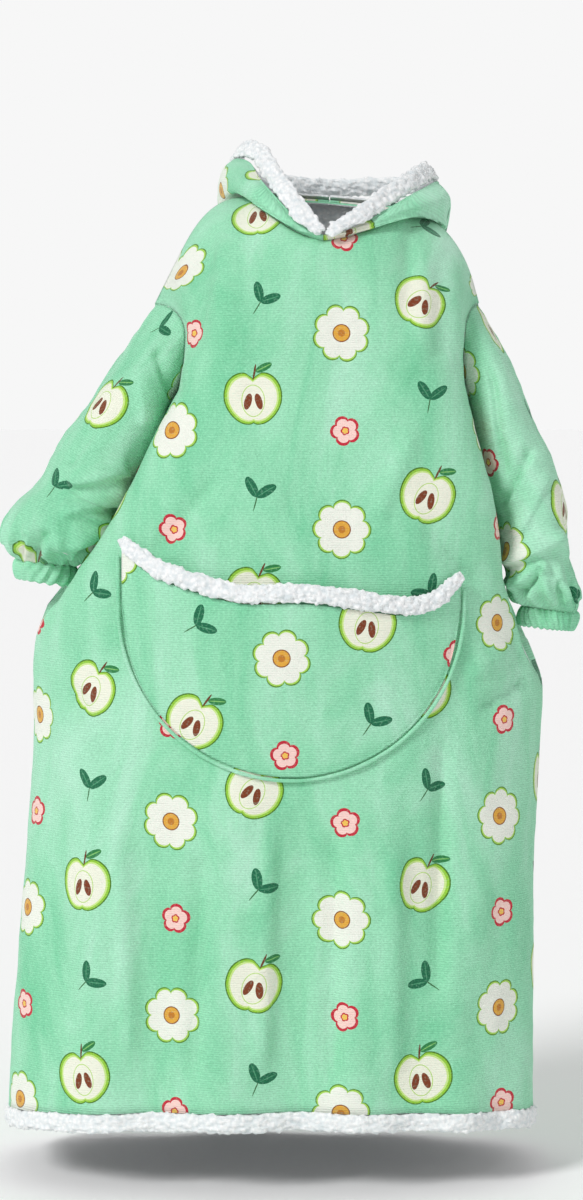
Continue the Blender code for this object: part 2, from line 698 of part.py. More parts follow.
def fold_panel(panel, grid, centres):
    """The panel's grid with its folds, which leave its seams where they are."""
    lift = fold_height(FRONT_FOLDS if panel < 0 else BACK_FOLDS, grid)
    rows, columns = grid.shape[:2]
    from_side = np.minimum(np.arange(columns), np.arange(columns)[::-1])
    from_top = np.arange(rows)[::-1]
    lift *= smooth_step(from_side / 3)[None, :] * smooth_step(from_top / 3)[:, None]
    return grid + grid_normals(grid, centres, False) * lift[..., None]


def body_centres(grid):
    """The body's middle line at the height of each point of a panel."""
    centres = np.zeros_like(grid)
    z = np.clip(grid[..., 2], BODY["z"].min(), BODY["z"].max())
    centres[..., 0] = (read(BODY, "z", "left", z) + read(BODY, "z", "right", z)) / 2
    centres[..., 2] = grid[..., 2] - np.clip(grid[..., 2] - CHEST_Z, 0, 1)
    return centres


def panel_seams(panel, grid):
    """Where each seam of a panel runs, and the direction across it."""
    shoulder = SHOULDER_STEPS
    toward = BACKWARD * -panel
    last = grid.shape[1] - 1
    return [
        ((slice(0, SKIRT_STEPS + 1), 0), toward),
        ((slice(0, SKIRT_STEPS + 1), last), toward),
        ((slice(SKIRT_STEPS, None), 0), armhole_axis(-1)),
        ((slice(SKIRT_STEPS, None), last), armhole_axis(1)),
        ((-1, slice(0, shoulder + 1)), toward),
        ((-1, slice(last - shoulder, None)), toward),
        ((-1, slice(shoulder, last - shoulder + 1)), UP),
        ((0, slice(None)), -UP),
    ]


# Sleeves and cuffs

def clear_of_sleeves(grid, sleeves):
    """A panel's grid below the armholes, moved clear of the sleeves and cuffs."""
    low = grid[:SKIRT_STEPS]
    from_underarm = np.arange(SKIRT_STEPS)[::-1][:, None] + 1.0
    clearance = SLEEVE_CLEARANCE * smooth_step(from_underarm / 2)
    for side, (points, normals) in sleeves.items():
        end = points[-1]
        aside = unit(end - end.mean(axis=0))
        cuff = [end + aside * CUFF_MARGIN + cuff_axis(side) * CUFF_HEIGHT * share
                for share in (0.1, 0.4, 0.7, 1.0)]
        away = np.broadcast_to(aside, (4, *end.shape))
        surface = np.concatenate([points[1:-1], cuff])
        margin = PUFF_MARGIN * smooth_step((np.arange(len(surface)) - PUFF_FROM_RING) / 3)
        low = lifted_off(low, surface, np.concatenate([normals[1:-1], away]), clearance,
                         margin[:, None])
    return np.concatenate([low, grid[SKIRT_STEPS:]])


def joined_sides(front, back):
    """The two panels' grids with the same points along both side seams."""
    front, back = front.copy(), back.copy()
    for column in (0, -1):
        shared = (front[:SKIRT_STEPS + 1, column] + back[:SKIRT_STEPS + 1, column]) / 2
        front[:SKIRT_STEPS + 1, column] = shared
        back[:SKIRT_STEPS + 1, column] = shared
    return front, back


def armhole_ring(side, front, back):
    """The armhole's points: from its top down the front, then up the back."""
    column = 0 if side < 0 else -1
    down = front[SKIRT_STEPS:, column][::-1]
    up = back[SKIRT_STEPS:, column]
    return np.concatenate([down[:-1], up[:-1]])


def sleeve_grid(side, ring):
    """Outer points of a sleeve, from the armhole to the cuff."""
    rows = RIGHT_SLEEVE if side < 0 else LEFT_SLEEVE
    middle = (ring.min(axis=0) + ring.max(axis=0)) / 2
    steps = [np.linalg.norm([a["outer_x"] - b["outer_x"], a["outer_z"] - b["outer_z"],
                             a["inner_x"] - b["inner_x"], a["inner_z"] - b["inner_z"]])
             for a, b in zip(rows[1:], rows[:-1])]
    keys = np.concatenate([[0], np.cumsum(steps)])
    start = np.linalg.norm([rows["outer_x"][0] + rows["inner_x"][0] - 2 * middle[0],
                            rows["outer_z"][0] + rows["inner_z"][0] - 2 * middle[2]]) * 0.7
    count = ring.shape[0]
    angle = np.arange(count) * 2 * math.pi / count
    grid = [ring]
    total = start + keys[-1]
    for at in np.linspace(0, total, SLEEVE_STEPS + 1)[1:]:
        key = max(at - start, 0)
        value = {name: float(hermite(keys, rows[name], key)) for name in rows.dtype.names}
        outer = np.array([value["outer_x"], value["middle_y"], value["outer_z"]])
        inner = np.array([value["inner_x"], value["middle_y"], value["inner_z"]])
        across, along = bent(angle, value["square"])
        section = ((outer + inner) / 2 + (outer - inner) / 2 * across[:, None]
                   - BACKWARD * value["depth"] * along[:, None])
        share = min(at / start, 1) if start > 0 else 1
        grid.append(ring + (section - ring) * share)
    return fold_sleeve(side, np.array(grid))


def fold_sleeve(side, grid):
    """The sleeve's grid with its folds, and gathers where it meets the cuff."""
    rows = RIGHT_SLEEVE_FOLDS if side < 0 else LEFT_SLEEVE_FOLDS
    along = np.linspace(0, 1, len(grid))[:, None]
    round_it = (np.arange(grid.shape[1]) / grid.shape[1])[None, :]
    lift = np.zeros(grid.shape[:2])
    for fold in rows:
        turn = np.abs(round_it - fold["round"])
        turn = np.minimum(turn, 1 - turn)
        lift += fold["height"] * np.exp(-((along - fold["along"]) / fold["along_reach"]) ** 2
                                        - (turn / fold["round_reach"]) ** 2)
    gather = smooth_step((along - GATHER_FROM) / GATHER_OVER)
    gather = gather * smooth_step((1 - along) / GATHER_END)
    lift += GATHER_HEIGHT * gather * np.cos(2 * math.pi * GATHER_WAVES * round_it)
    lift *= smooth_step(along / SLEEVE_FOLDS_FROM)
    centres = grid.mean(axis=1, keepdims=True)
    return grid + grid_normals(grid, centres, True) * lift[..., None]


def cuff_axis(side):
    """The direction along a cuff, out of the sleeve."""
    last = (RIGHT_SLEEVE if side < 0 else LEFT_SLEEVE)[-1]
    width = np.array([last["inner_x"] - last["outer_x"], 0, last["inner_z"] - last["outer_z"]])
    return side * unit(np.cross(width, BACKWARD))


def add_cuff(name, side):
    """A gathered elastic casing below the end of a sleeve."""
    last = (RIGHT_SLEEVE if side < 0 else LEFT_SLEEVE)[-1]
    outer = np.array([last["outer_x"], last["middle_y"], last["outer_z"]])
    inner = np.array([last["inner_x"], last["middle_y"], last["inner_z"]])
    axis = cuff_axis(side)
    start = (outer + inner) / 2 + axis * SEAM / 2
    wide = unit(inner - outer)
    wide_half = np.linalg.norm(outer - inner) / 2
    angle = np.arange(CUFF_COLUMNS) * 2 * math.pi / CUFF_COLUMNS
    wave = CUFF_WAVE * np.cos(CUFF_WAVES * angle)
    loops = []
    for share, bulge in CUFF_RINGS:
        grow = bulge * CUFF_THICK / 2 + wave * bulge
        loops.append((share, grow))
    for share, bulge in CUFF_RINGS[::-1]:
        shrink = -(CUFF_THICK * 0.3 + bulge * CUFF_THICK * 0.2) + wave * 0.4 * bulge
        loops.append((share, shrink))
    sections = np.zeros((CUFF_COLUMNS, len(loops), 3))
    for k, (share, grow) in enumerate(loops):
        middle = start + axis * CUFF_HEIGHT * share
        radius_wide = wide_half - SHELL / 2 + grow
        radius_deep = last["depth"] - SHELL / 2 + grow
        sections[:, k] = (middle + wide * (np.cos(angle) * radius_wide)[:, None]
                          + BACKWARD * (np.sin(angle) * radius_deep)[:, None])
    return add_roll(name, sections, closed=True, colour=MINT_SHADE, roughness=0.9)


# Hood

def neck_path(side):
    """Half the neckline, from the middle of the front round to the middle of the back."""
    front = neck_half(-1, side)[::-1]
    back = neck_half(1, side)
    return np.concatenate([front, back[1:]])


def neck_shares(side):
    """The share of half the neckline's length at each of its points."""
    steps = np.linalg.norm(np.diff(neck_path(side), axis=0), axis=1)
    return np.concatenate([[0], np.cumsum(steps)]) / steps.sum()


def hood_grid(side, body, body_normals):
    """Outer points of half the hood, a section at each point of the neckline.

    It lies on the body's shoulders and back, given by their points and normals.
    """
    rows = HOOD_RIGHT if side < 0 else HOOD_LEFT
    path, at = neck_path(side), neck_shares(side)
    middle = np.array([(NECK_FRONT[0] + NECK_BACK[0]) / 2, HOOD_MIDDLE_Y])
    sections = []
    for share, seam in zip(at, path):
        out = np.zeros(3)
        out[:2] = unit(seam[:2] - middle)
        if share in (0.0, 1.0):
            out = np.array([0.0, -1.0 if share == 0 else 1.0, 0.0])
        knots = [seam]
        for name in ("low", "crease", "high", "rim"):
            away = float(read(rows, "at", name + "_out", share))
            rise = float(read(rows, "at", name + "_up", share))
            knots.append(seam + out * away + UP * rise)
        sections.append(through(knots, HOOD_STEPS + 1))
    sections = np.array(sections)
    clearance = np.full(sections.shape[:2], HOOD_CLEARANCE)
    clearance[:, 0] = 0
    beside = smooth_step((at - HOOD_RISE_FROM) / HOOD_RISE_OVER)
    beside *= smooth_step((HOOD_RISE_TO - at) / HOOD_RISE_OVER)
    clearance[:, 1] += HOOD_FIRST_RISE * beside
    return lifted_off(sections, body, body_normals, clearance)


def hood_centres(grid):
    """A place within each section's bend, on the lining's side."""
    centres = grid.mean(axis=1, keepdims=True).copy()
    centres[..., 2] += HOOD_BEND_RISE
    return np.broadcast_to(centres, grid.shape)


def hood_seams(side):
    """The neckline and the two middle seams of half a hood."""
    toward = np.array([-float(side), 0, 0])
    return [
        ((slice(None), 0), -UP),
        ((0, slice(None)), toward),
        ((-1, slice(None)), toward),
    ]


def add_hood(side, name, body, body_normals):
    """Half the hood's outer cloth and its lining. Gives the middle of its rim."""
    grid = hood_grid(side, body, body_normals)
    centres = hood_centres(grid)
    outer, inner = wall(grid, centres, SHELL, hood_seams(side))
    add_wall("hood_" + name, outer, inner, colour=MINT_SHADE)
    inward = unit(inner - outer)
    lining = lining_grid(side, inner + inward * LINING_GAP)
    lining[:, 1:] = lifted_off(lining[:, 1:], denser(inner), denser(inward), LINING_GAP)
    rim = (outer[:, -1] + lining[:, -1]) / 2
    lining, centres = lining[LINING_FROM:], centres[LINING_FROM:]
    seams = [seam for seam in hood_seams(side) if seam[0][0] != 0]
    lining_outer, lining_inner = wall(lining, centres, LINING, seams)
    add_wall("hood_lining_" + name, lining_outer, lining_inner, colour=SHERPA, roughness=0.95)
    return rim


def lining_grid(side, grid):
    """The lining's points: straight across the rolls at the sides, in the pouch behind."""
    at = neck_shares(side)[:, None, None]
    share = np.linspace(0, 1, grid.shape[1])[None, :, None]
    across = grid[:, :1] + (grid[:, -1:] - grid[:, :1]) * share
    pouch = smooth_step((at - LINING_ACROSS_TO) / (LINING_POUCH_FROM - LINING_ACROSS_TO))
    return across + (grid - across) * pouch + UP * SEAM * (share == 0)


def trim_half(side, rim):
    """Middles of half the hood's edge, from the front to the back, and the way each faces."""
    at = neck_shares(side)
    out = rim - np.array([NECK_FRONT[0] / 2, HOOD_MIDDLE_Y, 0])
    out[:, 2] = 0
    out = unit(out)
    toward_viewer = 1.1 * (1 - at[:, None]) ** 2
    back = at[:, None]
    facing = unit((0.4 + 0.6 * back) * out + (0.7 - 0.3 * back) * UP - toward_viewer * BACKWARD)
    along = unit(np.gradient(rim, axis=0))
    onward = unit(np.cross(facing, along))
    onward *= np.sign((onward * (0.5 * UP - out)).sum(axis=1, keepdims=True))
    middles = rim + onward * (TRIM_WIDTH / 2 + TRIM_GAP)
    keep = at > TRIM_RIM_FROM
    rows = TRIM_FRONT[TRIM_FRONT["side"] == side]
    front = np.stack([rows["x"], rows["y"], rows["z"]], axis=1)
    curve = through(np.concatenate([front, middles[keep]]), 200)
    shares = np.linspace(0, 1, TRIM_STATIONS)
    faces = np.concatenate([np.repeat(facing[:1], 3, axis=0), facing[keep]])
    faces = even(faces + 1e-6 * np.arange(len(faces))[:, None], shares)
    return even(curve, shares), unit(faces)


def add_hood_trim(right_rim, left_rim):
    """The sherpa edge round the face opening, its ends side by side at the front."""
    right, right_facing = trim_half(-1, right_rim)
    left, left_facing = trim_half(1, left_rim)
    middles = np.concatenate([right, left[::-1][1:]])
    facing = np.concatenate([right_facing, left_facing[::-1][1:]])
    along = unit(np.gradient(middles, axis=0))
    facing = unit(facing - along * (facing * along).sum(axis=1, keepdims=True))
    onward = np.cross(facing, along)
    sections = oval(middles, onward, facing, TRIM_WIDTH / 2, TRIM_THICK / 2)
    half = TRIM_STATIONS // 2
    sections[:half, :, 0] = np.minimum(sections[:half, :, 0], TRIM_MEET_X - SEAM / 2)
    sections[-half:, :, 0] = np.maximum(sections[-half:, :, 0], TRIM_MEET_X + SEAM / 2)
    return add_roll("hood_trim", sections)


# Pocket

def locate(grid, x, z):
    """Row and column, with fractions, of the place of a panel at x and z."""
    rows, columns = grid.shape[:2]
    i, j = rows / 2, columns / 2
    for _ in range(12):
        low = min(int(i), rows - 2)
        line = grid[low] + (grid[low + 1] - grid[low]) * (i - low)
        j = float(np.interp(x, line[:, 0], np.arange(columns)))
        low = min(int(j), columns - 2)
        line = grid[:, low] + (grid[:, low + 1] - grid[:, low]) * (j - low)
        i = float(np.interp(z, line[:, 2], np.arange(rows)))
    return i, j


def sample(grid, i, j):
    """The value of a grid between its rows and columns."""
    low, left = min(int(i), grid.shape[0] - 2), min(int(j), grid.shape[1] - 2)
    a, b = i - low, j - left
    near = grid[low, left] * (1 - b) + grid[low, left + 1] * b
    far = grid[low + 1, left] * (1 - b) + grid[low + 1, left + 1] * b
    return near * (1 - a) + far * a


def on_front(front, normals, x, z, lift):
    """The place on the front panel at x and z, moved out by lift."""
    i, j = locate(front, x, z)
    return sample(front, i, j) + unit(sample(normals, i, j)) * lift, unit(sample(normals, i, j))


def pocket_top(x):
    """Height of the middle of the pocket's rolled top edge."""
    return float(read(POCKET_TOP, "x", "z", x))


def pocket_bottom(x):
    """Height of the pocket's outline below x."""
    share = min(abs(x - POCKET_X) / POCKET_HALF, 1)
    return POCKET_SIDE_END_Z + (POCKET_BOTTOM_Z - POCKET_SIDE_END_Z) * math.sqrt(1 - share ** 2)


def pocket_x():
    """X of the pocket's columns, closer together where its outline turns."""
    angle = np.linspace(-math.pi / 2, math.pi / 2, POCKET_COLUMNS + 1)
    turned, even_share = POCKET_TURNED * np.sin(angle), (1 - POCKET_TURNED) * angle / (math.pi / 2)
    return POCKET_X + POCKET_HALF * (turned + even_share)


def pocket_stand_off(x, down):
    """How far the pocket stands off the panel, 0 to 1: least along its sewn edge."""
    side = 1 - abs((x - POCKET_X) / POCKET_HALF) ** 2.6
    return side * (1 - down ** 2.2)


def add_pocket(front, normals):
    """The half-round pocket panel, sewn down along its outline and open at the top."""
    rows = []
    for down in np.linspace(0, 1, POCKET_ROWS + 1):
        row = []
        for x in pocket_x():
            top = pocket_top(x) - ROLL_HEIGHT / 2 - SEAM
            z = top + (pocket_bottom(x) - top) * down
            lift = POCKET_LIFT + SHELL + POCKET_FULL * pocket_stand_off(x, down)
            row.append(on_front(front, normals, x, z, lift)[0])
        rows.append(row)
    grid = np.array(rows)
    outer, inner = wall(grid, body_centres(grid), SHELL)
    return add_wall("pocket", outer, inner, colour=MINT)


def add_pocket_roll(front, normals):
    """The sherpa roll along the pocket's top edge."""
    middles, facing = [], []
    for share in np.linspace(-1, 1, ROLL_COLUMNS + 1):
        x = POCKET_X + POCKET_HALF * share
        full = POCKET_FULL * ROLL_STAND_OFF * pocket_stand_off(x, 0)
        rise = ROLL_THICK / 2 + POCKET_LIFT + full
        point, normal = on_front(front, normals, x, pocket_top(x), rise)
        middles.append(point)
        facing.append(normal)
    middles, facing = np.array(middles), np.array(facing)
    along = unit(np.gradient(middles, axis=0))
    facing = unit(facing - along * (facing * along).sum(axis=1, keepdims=True))
    upward = np.cross(facing, along)
    ends = 1 - ROLL_TAPER * np.abs(np.linspace(-1, 1, len(middles))) ** ROLL_TAPER_POWER
    sections = oval(middles, upward, facing, ROLL_HEIGHT / 2 * ends, ROLL_THICK / 2 * ends)
    return add_roll("pocket_trim", sections)


def add_pocket_binding(front, normals):
    """The rolled seam edge along the pocket's sides and bottom."""
    outline = []
    for z in np.linspace(pocket_top(POCKET_X - POCKET_HALF) - ROLL_HEIGHT / 2 - BINDING_BELOW,
                         POCKET_SIDE_END_Z, 8)[:-1]:
        outline.append((POCKET_X - POCKET_HALF, 0, z))
    for angle in np.linspace(-math.pi / 2, math.pi / 2, 60):
        x = POCKET_X + POCKET_HALF * math.sin(angle)
        outline.append((x, 0, pocket_bottom(x)))
    right_top = pocket_top(POCKET_X + POCKET_HALF) - ROLL_HEIGHT / 2 - BINDING_BELOW
    for z in np.linspace(POCKET_SIDE_END_Z, right_top, 8)[1:]:
        outline.append((POCKET_X + POCKET_HALF, 0, z))
    outline = even(np.array(outline), np.linspace(0, 1, BINDING_COLUMNS + 1))
    along = unit(np.gradient(outline, axis=0))
    aside = np.cross(along, BACKWARD)
    middle = np.array([POCKET_X, 0, POCKET_SIDE_END_Z])
    aside *= np.sign(((outline - middle) * aside).sum(axis=1, keepdims=True))
    outline = outline + aside * (BINDING_RADIUS + SEAM + BINDING_ASIDE)
    middles, facing = [], []
    for point in outline:
        place, normal = on_front(front, normals, point[0], point[2], BINDING_RADIUS + BINDING_RISE)
        middles.append(place)
        facing.append(normal)
    middles, facing = np.array(middles), np.array(facing)
    along = unit(np.gradient(middles, axis=0))
    facing = unit(facing - along * (facing * along).sum(axis=1, keepdims=True))
    sections = oval(middles, np.cross(facing, along), facing, BINDING_RADIUS, BINDING_RADIUS,
                    sides=6, square=2.0)
    return add_roll("pocket_binding", sections, colour=MINT_SHADE, roughness=0.9)


# Hem

def add_hem_band(name, outer, inner):
    """The sherpa band below a panel's hem, from side seam to side seam."""
    edge = (outer[0] + inner[0]) / 2
    along = unit(np.gradient(edge, axis=0))
    along[0], along[-1] = BACKWARD * along[0, 1], BACKWARD * along[-1, 1]
    along = unit(along)
    across = unit(np.cross(along, UP))
    down = unit(np.cross(across, along))
    down *= -np.sign(down[:, 2:3])
    middles = edge + down * (BAND_HEIGHT / 2 * BAND_REACH + SEAM)
    sections = oval(middles, down, across, BAND_HEIGHT / 2, BAND_THICK / 2)
    return add_roll(name, sections)


def clear_scene():
    """Remove what the file held and make the object's collection."""
    for thing in list(bpy.data.objects):
        bpy.data.objects.remove(thing, do_unlink=True)
    collection = bpy.data.collections.new(COLLECTION)
    bpy.context.scene.collection.children.link(collection)


def main():
    """Build every piece of the garment."""
    clear_scene()
    grids, walls, sleeves = {}, {}, {}
    for panel, name in ((-1, "front"), (1, "back")):
        grid = panel_grid(panel)
        grids[name] = fold_panel(panel, grid, body_centres(grid))
    for side, name in ((-1, "right"), (1, "left")):
        grid = sleeve_grid(side, armhole_ring(side, grids["front"], grids["back"]))
        centres = grid.mean(axis=1, keepdims=True)
        sleeves[side] = (grid, grid_normals(grid, centres, True))
        seams = [((0, slice(None)), -armhole_axis(side)), ((-1, slice(None)), cuff_axis(side))]
        add_wall(name + "_sleeve", *wall(grid, centres, SHELL, seams, wrapped=True), wrapped=True)
        add_cuff(name + "_cuff", side)
    clear = [clear_of_sleeves(grids[name], sleeves) for name in ("front", "back")]
    body, normals = [], []
    for panel, name, grid in zip((-1, 1), ("front", "back"), joined_sides(*clear)):
        walls[name] = wall(grid, body_centres(grid), SHELL, panel_seams(panel, grid))
        add_wall(name + "_panel", *walls[name])
        away = grid_normals(walls[name][0], body_centres(walls[name][0]), False)
        body.append(denser(walls[name][0][SKIRT_STEPS:]).reshape(-1, 3))
        normals.append(unit(denser(away[SKIRT_STEPS:])).reshape(-1, 3))
    body, normals = np.concatenate(body), np.concatenate(normals)
    add_hood_trim(add_hood(-1, "right", body, normals), add_hood(1, "left", body, normals))
    front = walls["front"][0]
    normals = grid_normals(front, body_centres(front), False)
    add_pocket(front, normals)
    add_pocket_roll(front, normals)
    add_pocket_binding(front, normals)
    add_hem_band("hem_trim_front", *walls["front"])
    add_hem_band("hem_trim_back", *walls["back"])


main()
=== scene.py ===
"""Looks of a wearable blanket hoodie: flannel cloth with a printed pattern and sherpa trims.

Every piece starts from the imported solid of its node, which is smoothed, creased and
dressed. Metres, +Z up, the front faces -Y and +X is the wearer's left.
"""

import logging
import math
from dataclasses import dataclass
from enum import Enum
from typing import Any, Callable

import bmesh
import bpy
import numpy as np
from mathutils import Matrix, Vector, kdtree, noise


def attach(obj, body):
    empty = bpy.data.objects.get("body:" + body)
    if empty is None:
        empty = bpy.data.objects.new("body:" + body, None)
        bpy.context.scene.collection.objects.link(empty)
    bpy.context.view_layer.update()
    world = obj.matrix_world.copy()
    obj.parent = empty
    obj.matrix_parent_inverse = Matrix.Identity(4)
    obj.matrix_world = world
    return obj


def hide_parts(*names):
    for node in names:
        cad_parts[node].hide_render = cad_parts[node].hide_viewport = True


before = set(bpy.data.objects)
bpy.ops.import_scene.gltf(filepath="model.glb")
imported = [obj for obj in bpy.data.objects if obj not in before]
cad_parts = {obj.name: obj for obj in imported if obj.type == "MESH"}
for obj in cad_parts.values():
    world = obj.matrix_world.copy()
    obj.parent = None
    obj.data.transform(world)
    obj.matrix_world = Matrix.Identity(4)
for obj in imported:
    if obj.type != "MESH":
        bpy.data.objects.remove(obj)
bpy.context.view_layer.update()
LOG = logging.getLogger("hoodie")

BORDER_ANGLE = 0.7
MERGE_REACH = 0.00003


class Side(Enum):
    """The wearer's side of a paired piece, as the sign of its X."""

    RIGHT = -1
    LEFT = 1


class Face(Enum):
    """Which material slot of a cloth piece a face has."""

    OUTSIDE = 0
    INSIDE = 1


# Numbers

def smooth_step(share: np.ndarray | float) -> np.ndarray:
    """0 to 1 with soft ends, clamped."""
    share = np.clip(share, 0, 1)
    return share * share * (3 - 2 * share)


def table(names: str, rows: list[tuple]) -> np.ndarray:
    """A table with named columns, one row for each fold or motif.

    Args:
        names: the columns' names, separated by spaces.
        rows: the rows' numbers.

    Returns:
        A structured array.
    """
    return np.array(rows, dtype=[(name, float) for name in names.split()])


def linear(colour: str) -> tuple[float, float, float, float]:
    """Linear RGBA of an sRGB hex colour such as #97ddb2."""
    values = [int(colour[i:i + 2], 16) / 255 for i in (1, 3, 5)]
    parts = [v / 12.92 if v <= 0.04045 else ((v + 0.055) / 1.055) ** 2.4 for v in values]
    return (*parts, 1.0)


# Folds rise or sink no more than this, and die away where the cloth turns from the front
FOLD_LIMIT = 0.020
SIDE_FADE = 0.45


def fold_height(folds: np.ndarray, place: np.ndarray, steep: float = 1.0,
                fade: float = 0.16) -> np.ndarray:
    """How far the folds lift or sink the cloth at each place.

    Args:
        folds: rows with from_a, from_b, to_a, to_b, width and height.
        place: the two coordinates of each point, in the folds' own plane.
        steep: how wide a fold's lower flank is, as a share of its upper one.
        fade: share of a fold's length over which it dies away.

    Returns:
        The lift in metres, one for each place.
    """
    lift = np.zeros(len(place))
    for fold in folds:
        start = np.array([fold["from_a"], fold["from_b"]])
        way = np.array([fold["to_a"], fold["to_b"]]) - start
        share = ((place - start) @ way) / (way @ way)
        nearest = start + np.clip(share, 0, 1)[:, None] * way
        apart = place - nearest
        off = np.linalg.norm(apart, axis=1)
        width = fold["width"] * np.where(apart[:, 1] < 0, steep, 1.0)
        ends = smooth_step(share / fade) * smooth_step((1 - share) / fade)
        lift += fold["height"] * np.exp(-(off / width) ** 2) * ends
    return lift


def soft_noise(points: np.ndarray, size: float, seed: float) -> np.ndarray:
    """Smooth noise from -1 to 1 at each point.

    Args:
        points: places in metres.
        size: the size of a lump in metres.
        seed: moves the noise to another place.
    """
    shifted = points / size + seed
    return np.array([noise.noise(Vector(p)) for p in shifted])


def clump_noise(points: np.ndarray, size: float, seed: float) -> np.ndarray:
    """Rounded clumps, 1 at a clump's middle and near 0 between clumps."""
    shifted = points / size + seed
    near = np.array([noise.voronoi(Vector(p))[0][0] for p in shifted])
    return np.clip(1 - near, 0, 1)


# Shader nodes

def add_node(tree: bpy.types.NodeTree, kind: str, inputs: dict | None = None, **settings: Any):
    """A shader node with its settings and links.

    Args:
        tree: the node tree.
        kind: the node's type name.
        inputs: socket name or number to a value or to the socket that feeds it.
        settings: properties of the node.

    Returns:
        The node.
    """
    made = tree.nodes.new(kind)
    for name, value in settings.items():
        setattr(made, name, value)
    for socket, value in (inputs or {}).items():
        if isinstance(value, bpy.types.NodeSocket):
            tree.links.new(value, made.inputs[socket])
        else:
            made.inputs[socket].default_value = value
    return made


def work_out(tree: bpy.types.NodeTree, known: dict, steps: list[tuple]) -> dict:
    """Math nodes for a list of steps.

    Args:
        tree: the node tree.
        known: sockets by name, which the steps add to.
        steps: (name, operation, inputs...), an input being a number or a known name.

    Returns:
        The known sockets with those of the steps.
    """
    for name, operation, *sources in steps:
        inputs = {i: known[s] if isinstance(s, str) else s for i, s in enumerate(sources)}
        known[name] = add_node(tree, "ShaderNodeMath", inputs, operation=operation).outputs[0]
    return known


def lay_over(tree: bpy.types.NodeTree, below: Any, mask: Any, colour: str) -> Any:
    """The colour below, covered with another one where the mask is 1."""
    mixed = add_node(tree, "ShaderNodeMix", {0: mask, 6: below, 7: linear(colour)},
                     data_type="RGBA")
    return mixed.outputs[2]


def new_material(name: str) -> tuple[bpy.types.Material, bpy.types.NodeTree, Any]:
    """A material with a Principled shader. Gives the material, its tree and the shader."""
    made = bpy.data.materials.new(name)
    made.use_nodes = True
    tree = made.node_tree
    return made, tree, tree.nodes["Principled BSDF"]


# Print

@dataclass(frozen=True)
class Motif:
    """One printed figure, repeated over a half-drop lattice.

    Its outline is a curve: the share of its radius at turns from its top, 0, to its
    foot, 1, which is the same on both sides.
    """

    name: str
    radius: float
    place: tuple[float, float]
    outline: tuple[tuple[float, float], ...]
    layers: tuple[tuple[float, str], ...]
    turn: float = 0.9
    lean: float = 0.0
    petals: int = 0
    petal_depth: float = 0.0


# Sizes of the repeat, metres
REPEAT_WIDE = 0.240
REPEAT_TALL = 0.270

APPLE = Motif("apple half", 0.041, (0.05, 0.06),
              ((0.0, 0.70), (0.05, 0.82), (0.13, 0.99), (0.26, 1.05), (0.48, 0.99),
               (0.72, 0.92), (0.88, 0.90), (0.96, 0.86), (1.0, 0.80)),
              ((1.00, "#4c7a1e"), (0.955, "#93c83c"), (0.88, "#c9e58a"), (0.82, "#eceddc")),
              turn=0.8, lean=0.25)
DAISY = Motif("daisy", 0.041, (0.56, 0.40), ((0.0, 1.0), (1.0, 1.0)),
              ((1.00, "#5b8a2a"), (0.955, "#a9d657"), (0.90, "#eceee4")),
              petals=8, petal_depth=0.21)
BLOSSOM = Motif("blossom", 0.021, (0.58, 0.90), ((0.0, 1.0), (1.0, 1.0)),
                ((1.00, "#c3283b"), (0.80, "#f6cfc8"), (0.30, "#c3283b"), (0.20, "#f0c25a")),
                petals=5, petal_depth=0.26)
SPRIG = Motif("sprig", 0.026, (0.08, 0.57), ((0.0, 0.10), (1.0, 0.10)), ((0.0, "#1f6b4a"),),
              turn=2.2)

# The mint ground, and a lighter and a deeper mint that are painted light and painted shade for the
# nap's strokes
MINT = "#99dfb8"
MINT_PAINTED_LIGHT = "#b8ebd0"
MINT_PAINTED_SHADE = "#78cfa1"


